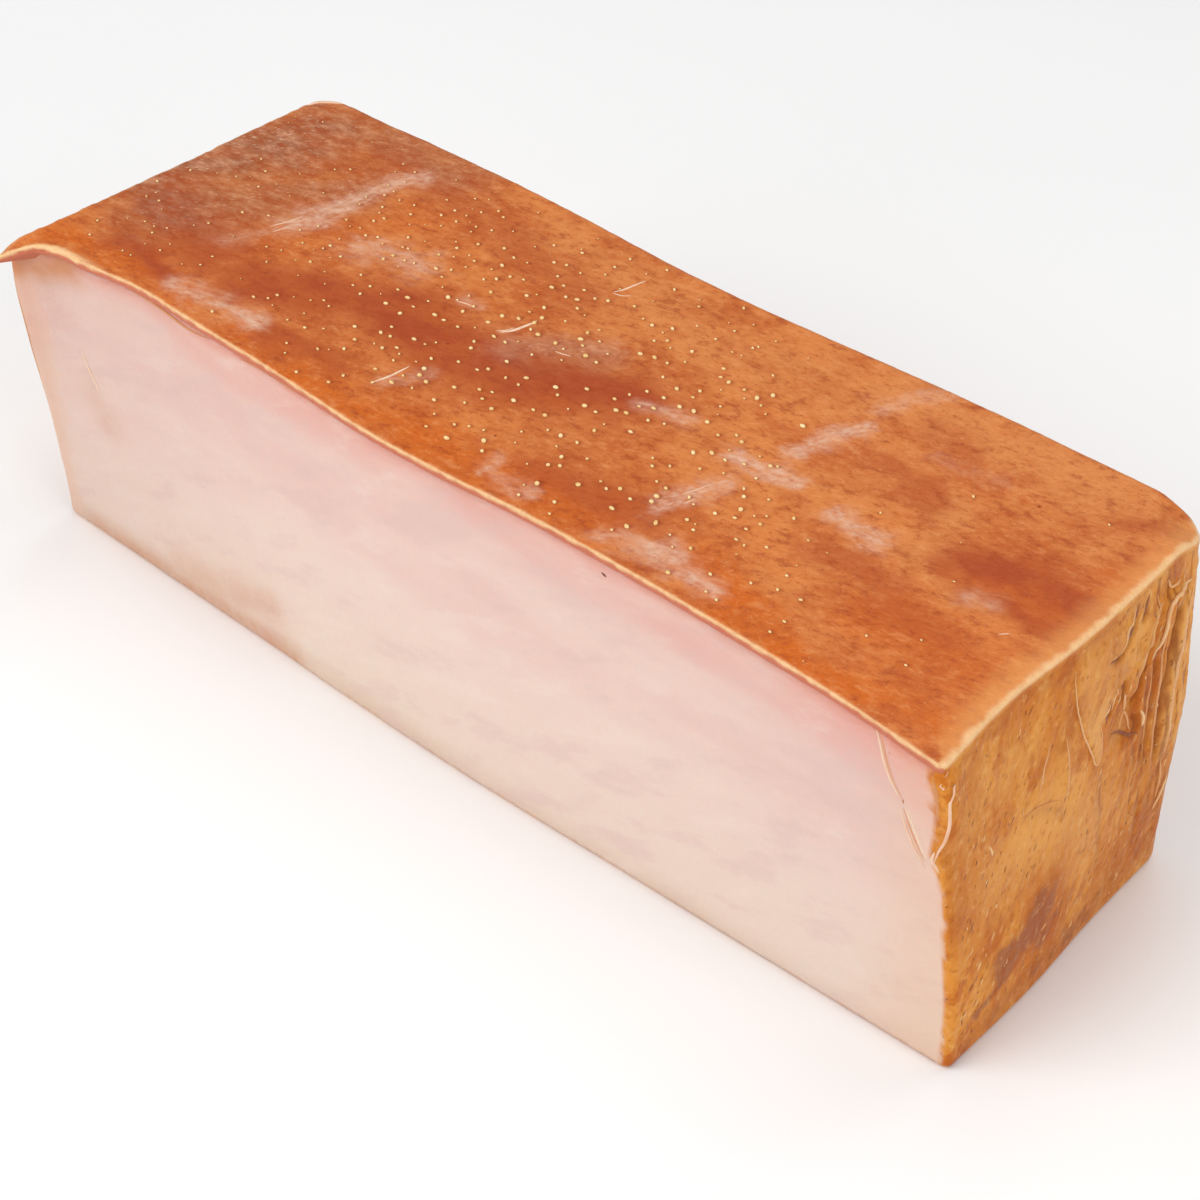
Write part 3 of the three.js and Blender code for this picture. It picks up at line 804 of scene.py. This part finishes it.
def rind_mesh():
    bm = gridded_box(RIND_CELLS)
    make_one_face(bm, -1)
    mesh = mesh_from(bm, "rind")
    u, v, w = read_points(mesh).T
    x = crowd_ends(u, RIND_CROWDING[0]) * HALF_LENGTH
    y = crowd_ends(v, RIND_CROWDING[1]) * HALF_WIDTH
    x, y = round_corners(x, y)
    z = HEIGHT - RIND + (w + 1) / 2 * RIND
    x, y, z = round_edges(x, y, z, HEIGHT - RIND, HEIGHT, RIND_EDGES, RIND_UNDER_EDGE)
    points = push_to_form(x, y, z, under_rind=False)
    depth, out_x, out_y = inside_outline(x, y)
    side = 1 - smoothstep(depth, 0, 1.5)
    is_cut = v < -ON_FACE
    edge_wear = rough(points, (2.5, 2.5, 2.5), 15)
    points[:, 0] += out_x * side * (RIND_PROUD + 0.08 * edge_wear)
    points[:, 1] += out_y * side * (RIND_PROUD + 0.08 * edge_wear) * ~is_cut

    px, py, _ = points.T.copy()
    ragged = rough(points, (1.9, 2, 0.8), 17)
    points[:, 1] -= is_cut * ragged * lerp(0.07, 0.3, smoothstep(-px, 82, 96))
    on_top = smoothstep(w, 0.2, 1)
    pits, shade = np.zeros((2, len(px)))
    # Each follicle sinks a pit into the rind, and a painted shadow lies a little beside the pit
    for (at_x, at_y), size in zip(follicles, follicle_sizes):
        near = np.flatnonzero((np.abs(px - at_x) < 2) & (np.abs(py - at_y) < 2))
        radius = FOLLICLE_RADIUS * size
        away = np.hypot(px[near] - at_x, py[near] - at_y)
        pits[near] += FOLLICLE_DEPTH * size * np.exp(-(away / radius) ** 2)
        beside = np.hypot(px[near] - at_x - FOLLICLE_SHADOW_BESIDE[0], py[near] - at_y - FOLLICLE_SHADOW_BESIDE[1])
        shade[near] = np.maximum(shade[near], np.exp(-(beside / radius) ** 2))
    creases = rough(points, (11, 4, 5), 11) + 1.6 * rough(points, (6, 2.4, 4), 16) * smoothstep(-px, 66, 92)
    points[:, 2] += on_top * (0.10 * creases + 0.04 * rough(points, (2.6, 1.3, 2), 12) - pits)
    write_points(mesh, points)

    drift = rough(points, (12, 7, 10), 13, 5)
    ax = px + TONE_DRIFT[0] * drift
    ay = py + TONE_DRIFT[1] * rough(points, (12, 6, 8), 14, 5)
    to_right = smoothstep(out_x, 0.2, 0.7)
    near_right = to_right * (1 - smoothstep(depth, 0.1, 1.3 + 0.9 * edge_wear))
    right_glow = to_right * (1 - smoothstep(depth + 1.5 * drift, 0.5, 6.5))
    near_left = smoothstep(-out_x, 0.2, 0.7) * (1 - smoothstep(depth, 0.3, 1.4))
    spongy = smoothstep(-px, 86, 98) * (1 - smoothstep(y + HALF_WIDTH, 0.6, 1.8 + 0.8 * edge_wear))
    front_line = 1 - smoothstep(y + HALF_WIDTH, 0.0, 0.55 + 0.25 * edge_wear)
    is_side = (np.abs(u) > ON_FACE) | (v > ON_FACE)
    paint(
        mesh, dark_tone=patches(ax, ay, RIND_DARK), tan_tone=patches(ax, ay, RIND_TAN),
        amber_tone=patches(ax, ay, RIND_AMBER), rubbed=rubbed(px + drift, py, RIND_RUBBED),
        veil=patches(ax, ay, RIND_DARK_UNDER_SHEEN), follicle=shade, rim_glow=right_glow,
        rim=np.maximum.reduce([near_right, near_left * 0.35, spongy, front_line]),
        side=is_side * (1 - smoothstep(w, -0.3, 0.8)),
        cut_face=is_cut * (1 - smoothstep(w + 0.4 * edge_wear, 0, 0.7)),
    )
    return mesh


def rind_material():
    material, nodes, skin = new_material("smoked_rind", 0, 1)
    mottle = nodes.noise((10, 6.5, 6), turn=(0, 0, RIND_RUN), roughness=0.68, seed=2)
    flow = nodes.noise((3.4, 1.9, 2), turn=(0, 0, RIND_RUN), roughness=0.7, seed=4)
    grain = nodes.noise((1.1, 0.75, 0.8), turn=(0, 0, RIND_RUN), detail=2, seed=8)

    def broken(name, strength):
        """A painted tone, thinned out here and there by the mottling of the skin."""
        left_over = nodes.ramp(mottle, 0.34, 0.58, 0.55 * strength, strength)
        return nodes.math("MULTIPLY", nodes.painted(name), left_over)

    def spots(size, turn, reach, share):
        places = nodes.placed(size, (0, 0, turn))
        return nodes.group(specks, {"Vector": places, "Size": reach, "Share": share})

    tone = nodes.mix(nodes.ramp(mottle, 0.35, 0.65), colour(192, 96, 38), colour(216, 126, 62))
    tone = nodes.mix(broken("tan_tone", 0.9), tone, colour(216, 132, 70))
    tone = nodes.mix(broken("amber_tone", 1), tone, colour(206, 98, 18))
    tone = nodes.mix(broken("dark_tone", 1), tone, colour(172, 72, 30))
    # Darker brown skin where the painted sheen lies
    tone = nodes.mix(broken("veil", 0.9), tone, colour(142, 76, 46))
    not_dark = nodes.ramp(nodes.painted("dark_tone"), 0.8, 0.1, 0.15, 1)
    lighter = nodes.math("MULTIPLY", nodes.ramp(flow, 0.5, 0.72, 0, 0.42), not_dark)
    tone = nodes.mix(lighter, tone, colour(230, 152, 92))
    tone = nodes.mix(nodes.ramp(flow, 0.49, 0.3, 0, 0.6), tone, colour(162, 66, 24))
    flecked = nodes.math("MULTIPLY", nodes.ramp(grain, 0.56, 0.74, 0, 0.22), not_dark)
    tone = nodes.mix(flecked, tone, colour(234, 164, 110))
    tone = nodes.mix(nodes.ramp(grain, 0.43, 0.28, 0, 0.35), tone, colour(154, 60, 20))
    tone = nodes.tint(tone, spots((1.8, 0.8, 1), RIND_RUN, 0.3, 0.08), 0.5, colour(146, 54, 20))
    tone = nodes.tint(tone, spots((5, 5, 5), 0, 0.09, 0.14), 0.8, colour(122, 44, 18))
    # Painted sheen, a reflection of light, broken up by the flow of the skin
    painted_sheen = nodes.math("MULTIPLY", nodes.painted("veil"), nodes.ramp(flow, 0.38, 0.7, 0.02, 0.46))
    tone = nodes.mix(painted_sheen, tone, colour(206, 158, 132))
    # Pale scuffs where the skin was rubbed, and painted glints where the sheen lies
    rubbed_and_sheen = nodes.math("MAXIMUM", nodes.painted("veil"), nodes.painted("rubbed"))
    scuffs_and_glints = nodes.math("MULTIPLY", spots((0.4, 1.7, 1), 0.6, 0.34, 0.3), rubbed_and_sheen)
    rubbed_off = nodes.math("MULTIPLY", nodes.painted("rubbed"), nodes.ramp(grain, 0.3, 0.65, 0.65, 1))
    tone = nodes.mix(rubbed_off, tone, colour(226, 182, 156))
    # Pale scuffs and painted glints of the sheen
    tone = nodes.tint(tone, scuffs_and_glints, 0.8, colour(238, 202, 178))
    # Painted shadow, reddish brown, a little beside each follicle's pit
    tone = nodes.tint(tone, nodes.painted("follicle"), 0.7, colour(134, 48, 10))
    tone = nodes.tint(tone, nodes.painted("rim_glow"), 0.6, colour(234, 158, 88))
    rim = nodes.math("MULTIPLY", nodes.painted("rim"), nodes.ramp(grain, 0.3, 0.6, 0.8, 1))
    tone = nodes.mix(rim, tone, colour(248, 204, 150))
    tone = nodes.mix(nodes.painted("side"), tone, nodes.group(smoked_tone, {}))
    tone = nodes.mix(nodes.painted("cut_face"), tone, colour(204, 114, 84))

    set_skin(nodes, skin, tone, flow, (0.36, 0.52))
    nodes.join(nodes.bump(grain, 0.18), skin.inputs["Normal"])
    skin.inputs["Specular IOR Level"].default_value = 0.2
    return material


rind = add_piece(rind_mesh(), rind_material())


# ---------------------------------------------------------------------------------------------------
# The bristle stubs. Each follicle in the rind still holds the pale root of its bristle, a grain that is
# mostly under a millimetre long and lies along the block, a little askew.

# Half the length, width and height of a stub of size 1, its turn from the block's length, and its lift
STUB_HALVES = (0.56, 0.40, 0.24)
STUB_TURN = -0.45
STUB_LIFT = 0.1
# A height that is clear of the rind
ABOVE_RIND = 73


def surface_of(piece):
    """Finds places on a piece's surface from just outside it. Its one large hidden face is left out."""
    points = read_points(piece.data).tolist()
    faces = [tuple(face.vertices) for face in piece.data.polygons if len(face.vertices) < 9]
    tree = BVHTree.FromPolygons(points, faces)

    def hit(start, way):
        start = Vector((np.array(start) - FORM_MIDDLE) * MM)
        found = tree.ray_cast(start, Vector(way))[0] or tree.find_nearest(start)[0]
        return np.array(found) / MM + FORM_MIDDLE

    return hit


rind_surface = surface_of(rind)


def stub_mesh():
    bm = bmesh.new()
    for (x, y), size in zip(follicles, follicle_sizes):
        place = rind_surface((x, y, ABOVE_RIND), (0, 0, -1)) - FORM_MIDDLE + (0, 0, STUB_LIFT)
        grow = size * seeded.uniform(0.85, 1.15, 3)
        shape = Matrix.Diagonal((*(np.array(STUB_HALVES) * grow * MM), 1))
        turn = Matrix.Rotation(STUB_TURN + seeded.normal(0, 0.35), 4, "Z")
        matrix = Matrix.Translation(Vector(place * MM)) @ turn @ shape
        bmesh.ops.create_uvsphere(bm, u_segments=7, v_segments=5, radius=1, matrix=matrix)
    return mesh_from(bm, "bristle_stubs")


def stub_material():
    material, nodes, skin = new_material("bristle_root", 0.1, 0.5)
    tone = nodes.noise((3, 3, 3), detail=2)
    roots = nodes.mix(nodes.ramp(tone, 0.3, 0.7), colour(240, 196, 124), colour(255, 228, 170))
    set_skin(nodes, skin, roots, tone, (0.35, 0.5))
    return material


add_piece(stub_mesh(), stub_material())


# ---------------------------------------------------------------------------------------------------
# The folds. Thin smears and flaps of fat that the knife dragged along, and slits that it left: round the
# tongue and the torn hollow of the smoked end, on the front and in the rind. The dark folds laid in grooves
# and slits are painted shade, and the dark lines beside pale cut edges and under the rind's lip are painted
# shadow. Short nicks are all over the smoked sides. Each lies on the surface.

# Along a fold: its step, how deep it sinks in, how long a short one is, and the reach that gives its way
FOLD_STEP = 0.45
FOLD_SINK = 0.15
SHORT_FOLD = 2.5
TURN_REACH = 0.2
# Places that are clear of the ends and of the long sides
BEYOND_END = 112
BEYOND_SIDE = 42

# Each fold: a line of points, half its width, its rise, and its tone from 0, dark brown, to 1, cream. On
# the end, the darkest folds lie in the grooves as painted shade
END_FOLDS = [
    ([(-1, 63.8), (-0.7, 58.1), (1.4, 50.4), (4.2, 44.2), (6.1, 40.4), (7.2, 41), (7.5, 44.2), (6.9, 48.8)],
     0.18, 0.2, 0.85),
    ([(7, 48.9), (8.8, 49.4), (9.7, 50.8), (10.4, 52.4)], 0.3, 0.3, 0.9),
    ([(9.6, 50.6), (9.5, 48.9), (8.5, 46.8)], 0.4, 0.1, 0.03),
    ([(10.6, 53.4), (10.9, 51), (10.4, 48.4)], 0.3, 0.25, 0.75),
    ([(12.9, 53.4), (13.8, 50.9), (13.5, 49.1), (13.3, 46.9)], 0.42, 0.1, 0.03),
    ([(14.4, 49.2), (14.9, 47), (15.1, 45)], 0.4, 0.3, 0.8),
    ([(11.4, 42.6), (14, 41.4), (17, 38.9), (18.8, 38.6)], 0.45, 0.1, 0.03),
    ([(13.4, 42.1), (14.2, 44.2), (15, 45), (15.9, 43.2), (16.7, 40.2)], 0.26, 0.25, 0.7),
    ([(19, 43.2), (19.6, 41.6), (19.6, 39.4)], 0.36, 0.5, 1),
    ([(20.9, 58), (20.2, 54.3), (19.8, 51.5), (18.7, 48.9), (17.6, 45.4)], 0.42, 0.1, 0.03),
    ([(23.4, 62.8), (20.2, 59.6), (19.2, 56), (18.5, 51), (17, 47)], 0.4, 0.3, 0.7),
    ([(30.9, 60), (29.6, 57.5), (28.5, 54.4), (26.8, 45.7), (25, 36.7), (25, 30)], 0.45, 0.1, 0.03),
    ([(32.6, 61.5), (29.4, 62), (25.6, 61.3), (24, 58), (22.6, 54.8), (21.4, 52)], 0.45, 0.55, 0.9),
    ([(33.4, 60), (31.2, 54), (29.4, 46), (28, 38), (28, 28)], 0.5, 0.35, 0.75),
    ([(26, 57), (24.9, 51), (24, 44), (23.3, 37), (23.2, 30)], 0.35, 0.3, 0.65),
    ([(22.3, 50), (21.4, 44), (21, 38), (21.2, 33)], 0.3, 0.25, 0.6),
    ([(16.4, 66.4), (15.9, 65.2), (15, 63.8), (13.6, 63), (13.1, 60.4), (11.4, 58.9), (9.2, 59.6),
      (7.8, 59.6)], 0.4, 0.1, 0.03),
    ([(15.4, 66.4), (15.1, 65.4), (14.4, 64.2), (12.9, 63.6), (12.4, 61), (10.8, 59.6)], 0.28, 0.25, 0.8),
    ([(19.4, 66.5), (18.5, 65), (18, 63.6), (17.2, 62.4)], 0.4, 0.1, 0.03),
    ([(31.6, 20), (29.7, 17.5), (28, 14.6)], 0.35, 0.35, 0.9),
    ([(27.6, 27), (28.4, 22), (28.2, 17)], 0.3, 0.3, 0.7),
    ([(-14.8, 41), (-11.9, 42.3), (-8.3, 41.6), (-4, 40)], 0.16, 0.06, 0.4),
    ([(-6.9, 53), (-8.6, 48.9), (-9.4, 45)], 0.2, 0.12, 0.75),
    ([(-2.9, 52), (-2, 43.6), (-2.7, 38.9)], 0.2, 0.12, 0.7),
    ([(7.8, 39.6), (8.2, 32), (9, 24)], 0.2, 0.05, 0.3),
    ([(-22.6, 42.8), (-22, 41.4), (-21.8, 40.4)], 0.24, 0.2, 1),
    ([(24.8, 66), (26, 63.8), (29, 63.6)], 0.3, 0.3, 0.8),
    ([(21.8, 65), (22.6, 61), (22.2, 58)], 0.25, 0.2, 0.6),
]
# On the front: pale edges of the knife's cuts and of the peeled skin, each with a darker line beside it that
# is painted shadow, and below the rind's lip a brown line and dark slits that are painted shadow
FRONT_FOLDS = [
    ([(90.5, 65.6), (92.2, 63.1), (93.6, 59.9), (95.3, 56.9), (97.4, 54.4)], 0.28, 0.18, 0.97),
    ([(91.2, 65.6), (92.9, 63.1), (94.3, 59.9), (96, 56.9), (98, 54.8)], 0.16, 0.05, 0.55),
    ([(98.3, 54.4), (99.8, 52.4), (101.6, 49.4), (103.3, 47.1), (104.4, 46.8)], 0.3, 0.2, 1),
    ([(97.4, 53.1), (98.8, 49.8), (100.4, 47.1), (101.9, 45.3), (103.2, 43.6)], 0.25, 0.16, 0.95),
    ([(98.1, 53.3), (99.5, 50.4), (101.2, 47.6), (102.9, 45)], 0.2, 0.05, 0.5),
    ([(98, 54.9), (98.2, 54.1)], 0.28, 0.06, 0.25),
    ([(94.6, 62.8), (95.6, 62.4)], 0.35, 0.05, 0.3),
    ([(104.6, 66), (105.7, 64.6), (106.6, 62), (107.3, 58.6), (107.4, 55.6), (106.9, 52.6), (106, 50),
      (105.3, 47)], 0.3, 0.34, 0.82),
    ([(103.4, 63.4), (104.4, 61.6), (105, 59), (105.4, 56)], 0.3, 0.07, 0.4),
    ([(105.3, 49.4), (104.9, 47.4), (105.3, 45.6), (105.9, 44.6)], 0.36, 0.25, 0.9),
    # Painted shadow below the rind's lip: a brown line and short dark slits
    ([(-84, 64.3), (-78, 64.1), (-72, 63.8), (-66, 63.5), (-60, 64.1)], 0.34, 0.12, 0.4),
    ([(-52, 64), (-44, 64.4), (-38, 64.2), (-30, 64.6)], 0.3, 0.1, 0.44),
    ([(-54.2, 65.2), (-51.6, 65)], 0.36, 0.1, 0),
    ([(-67.4, 65.1), (-65.2, 64.8)], 0.25, 0.05, 0),
    ([(-40.2, 65.4), (-36, 65.2)], 0.2, 0.05, 0.1),
    ([(34.1, 62.4), (35.3, 62)], 0.28, 0.05, 0),
    ([(-98.4, 44.5), (-96.4, 40.3), (-94.4, 36.6)], 0.22, 0.06, 1),
]
RIND_FOLDS = [
    ([(-19.8, 1.1), (-18.5, 2.6), (-17.8, 4.4), (-17.3, 6.4), (-17.3, 8.2)], 0.32, 0.18, 1),
    ([(-20.6, 1), (-19.2, 2.4), (-18.6, 4)], 0.14, 0.1, 0.85),
    ([(-26.1, -24.3), (-25.2, -21.6), (-24.7, -18.5), (-24.6, -16.2)], 0.26, 0.16, 1),
    ([(-12.9, 23.4), (-11.9, 25.5), (-11.3, 28.2), (-10.8, 30.1)], 0.2, 0.14, 1),
    ([(-12.9, 23.2), (-11, 23.6), (-9.6, 24.8)], 0.15, 0.1, 0.85),
    ([(-32.8, 3.3), (-30.1, 3.9), (-28.5, 4.1)], 0.14, 0.1, 0.9),
    ([(-76, -2), (-74.6, 1.6), (-74, 4.4)], 0.16, 0.1, 0.85),
    ([(-74.4, -3), (-73, 0.6)], 0.14, 0.1, 0.8),
    ([(-8.4, 3.2), (-6.8, 3.4), (-5, 3.9)], 0.14, 0.1, 0.85),
    ([(34.6, -12.4), (35.8, -9.2), (36.6, -6.8)], 0.13, 0.08, 0.85),
    ([(36.4, -14), (37.2, -11.4)], 0.13, 0.08, 0.8),
    ([(94.2, -6.6), (95.6, -5.2)], 0.13, 0.08, 0.9),
    ([(-103.5, 33.2), (-102.8, 35.4), (-101.1, 37.1), (-98.6, 38.4)], 0.5, 0.22, 0.85),
    ([(-102.6, 33), (-101.9, 34.9), (-100.6, 36.2)], 0.25, 0.1, 0.1),
]


def scattered_nicks(count, low, high, longest, crowding):
    """Short brown nicks and a few pale flecks all over one smoked side, crowded where it is most torn."""
    nicks = []
    while len(nicks) < count:
        place = seeded.uniform(low, high)
        if seeded.random() > 0.22 + 0.78 * min(max(crowding(*place), 0), 1):
            continue
        length = seeded.uniform(0.5, longest)
        lean = seeded.normal(0.4, 0.25)
        top = place + length * np.array([math.sin(lean), math.cos(lean)])
        middle = (place + top) / 2 + (seeded.normal(0, 0.06) * length, 0)
        is_pale = seeded.random() < 0.25
        rise, tone = (0.14, seeded.uniform(0.8, 1)) if is_pale else (0.05, seeded.uniform(0, 0.25))
        nicks.append(([place, middle, top], seeded.uniform(0.11, 0.22), rise, tone))
    return nicks


def add_fold(whole, on_surface, ways, line, half, rise, tone):
    """Lays one fold on the surface: a flat tube that thins out towards both its ends."""
    line = np.array(line, float)
    down = np.concatenate([[0], np.cumsum(np.hypot(*np.diff(line, axis=0).T))])
    is_short = down[-1] < SHORT_FOLD
    steps = max(3 if is_short else 6, int(down[-1] / FOLD_STEP))
    path = [smooth_line(list(zip(down, line[:, axis]))) for axis in (0, 1)]
    bm = bmesh.new()
    tones = bm.verts.layers.float.new("tone")
    bmesh.ops.create_cone(bm, cap_ends=True, segments=5 if is_short else 8, radius1=1, radius2=1, depth=2)
    long_edges = [e for e in bm.edges if abs(e.verts[0].co.z - e.verts[1].co.z) > 1]
    bmesh.ops.subdivide_edges(bm, edges=long_edges, cuts=steps - 1)
    places = {}
    for point in bm.verts:
        share = min(max((point.co.z + 1) / 2, 0.0), 1.0)
        step = round(share * steps)
        if step not in places:
            at = share * down[-1]
            ahead = min(at + TURN_REACH, down[-1])
            behind = max(at - TURN_REACH, 0)
            way = Vector([float(p(ahead) - p(behind)) for p in path]).normalized()
            places[step] = (way, on_surface(float(path[0](at)), float(path[1](at))))
        way, place = places[step]
        thin = 0.12 + 0.88 * max(math.sin(math.pi * share), 0) ** 0.6
        wide = point.co.x * half * thin
        high = point.co.y * (rise * thin if point.co.y > 0 else FOLD_SINK)
        over = wide * (way.x * ways["up"] - way.y * ways["across"])
        point.co = Vector((place + over + high * ways["out"] - FORM_MIDDLE) * MM)
        point[tones] = tone
    fold = mesh_from(bm, "fold")
    whole.from_mesh(fold)
    bpy.data.meshes.remove(fold)


def add_folds(name, surface, folds, start, across, up, material):
    """All folds of one side. Their lines run along two axes, from a start straight out from the block."""
    whole = bmesh.new()
    whole.verts.layers.float.new("tone")
    start = np.array(start, float)
    ways = {"out": np.sign(start), "across": np.eye(3)[across], "up": np.eye(3)[up]}

    def on_surface(a, b):
        return surface(start + a * ways["across"] + b * ways["up"], -ways["out"])

    for line, half, rise, tone in folds:
        add_fold(whole, on_surface, ways, line, half, rise, tone)
    add_piece(mesh_from(whole, name), material)


def fold_material(name, dark_tone, middle_tone, pale_tone):
    material, nodes, skin = new_material(name, 0.05, 0.5)
    # Tone 0 colours the dark brown nicks, and also the painted shade and shadow of slits, grooves and cut
    # edges
    shade = nodes.bands(nodes.painted("tone"), [(0.0, dark_tone), (0.5, middle_tone), (1.0, pale_tone)])
    uneven = nodes.noise((2, 2, 4), detail=4, seed=12)
    shade = nodes.mix(nodes.ramp(uneven, 0.45, 0.7, 0, 0.35), shade, middle_tone)
    set_skin(nodes, skin, shade, uneven, (0.25, 0.42))
    nodes.join(nodes.bump(uneven, 0.1), skin.inputs["Normal"])
    return material


fat_surface = surface_of(fat)
smeared_fat_and_shade = fold_material("smeared_fat_and_shade", colour(134, 58, 4), colour(212, 126, 48), colour(250, 208, 150))
peeled_fat_and_shadow = fold_material("peeled_fat_and_shadow", colour(122, 50, 30), colour(226, 150, 92), colour(250, 216, 186))
nicked_skin = fold_material("nicked_skin", colour(140, 60, 30), colour(214, 150, 110), colour(246, 212, 182))


def most_torn(y, z):
    """The smoked end is most torn at its foot, at its front and at its back."""
    return max((16 - z) / 14, (-20 - y) / 9, (y - 6) / 26)


def evenly_torn(a, b):
    return 0.5


X, Y, Z = range(3)
end_nicks = scattered_nicks(230, (-30, 3), (32, 62), 1.9, most_torn)
back_nicks = scattered_nicks(150, (-100, 4), (100, 62), 4, evenly_torn)
left_nicks = scattered_nicks(60, (-28, 4), (28, 60), 4, evenly_torn)
add_folds(
    "end_folds_and_shade", fat_surface, END_FOLDS + end_nicks, (BEYOND_END, 0, 0), Y, Z, smeared_fat_and_shade,
)
add_folds("back_folds", fat_surface, back_nicks, (0, BEYOND_SIDE, 0), X, Z, smeared_fat_and_shade)
add_folds("left_folds", fat_surface, left_nicks, (-BEYOND_END, 0, 0), Y, Z, smeared_fat_and_shade)
add_folds("knife_folds_and_shadows", fat_surface, FRONT_FOLDS, (0, -BEYOND_SIDE, 0), X, Z, peeled_fat_and_shadow)
add_folds("rind_nicks", rind_surface, RIND_FOLDS, (0, 0, ABOVE_RIND), X, Y, nicked_skin)


# ---------------------------------------------------------------------------------------------------
# The floor, the light and the camera. A plain pale floor, a large soft light from the front left above,
# weaker ones from the right and from above the back, and an even pale surround.

FLOOR_SIZE = 3.0
CAMERA_PLACE = Vector((271.8, -291.925, 351.122)) * MM
CAMERA_TARGET = Vector((15.277, -10.773, 34.0)) * MM
LIGHT_TARGET = (0, 0, 0.03)
SURROUND = 0.38


def floor_mesh():
    bm = bmesh.new()
    bmesh.ops.create_grid(bm, x_segments=1, y_segments=1, size=FLOOR_SIZE / 2)
    mesh = bpy.data.meshes.new("floor")
    bm.to_mesh(mesh)
    bm.free()
    return mesh


def floor_material():
    material, nodes, skin = new_material("pale_floor", 0, 1)
    shade = nodes.noise((400, 400, 400), detail=2)
    pale = nodes.mix(nodes.ramp(shade, 0.3, 0.7), colour(250, 250, 250), colour(253, 253, 253))
    nodes.join(pale, skin.inputs["Base Color"])
    skin.inputs["Roughness"].default_value = 0.6
    return material


floor = bpy.data.objects.new("floor", floor_mesh())
floor.data.materials.append(floor_material())
bpy.context.scene.collection.objects.link(floor)


def aim(thing, place, target):
    thing.location = place
    thing.rotation_euler = (Vector(target) - Vector(place)).to_track_quat("-Z", "Y").to_euler()


def soft_light(name, place, size, power):
    lamp = bpy.data.lights.new(name, "AREA")
    lamp.shape = "SQUARE"
    lamp.size = size
    lamp.energy = power
    light = bpy.data.objects.new(name, lamp)
    bpy.context.scene.collection.objects.link(light)
    aim(light, place, LIGHT_TARGET)


soft_light("key_light", (-0.35, -0.75, 0.85), 0.8, 7.4)
soft_light("side_light", (0.95, -0.15, 0.55), 0.7, 3.2)
soft_light("top_light", (0.0, 0.45, 1.1), 0.8, 3.8)

world = bpy.data.worlds.new("pale_surround")
bpy.context.scene.world = world
world.use_nodes = True
world.node_tree.nodes["Background"].inputs["Color"].default_value = (1, 1, 1, 1)
world.node_tree.nodes["Background"].inputs["Strength"].default_value = SURROUND
bpy.context.scene.view_settings.view_transform = "Standard"

lens = bpy.data.cameras.new("camera")
lens.lens = 85
lens.sensor_width = 36
camera = bpy.data.objects.new("camera", lens)
bpy.context.scene.collection.objects.link(camera)
aim(camera, CAMERA_PLACE, CAMERA_TARGET)
bpy.context.scene.camera = camera
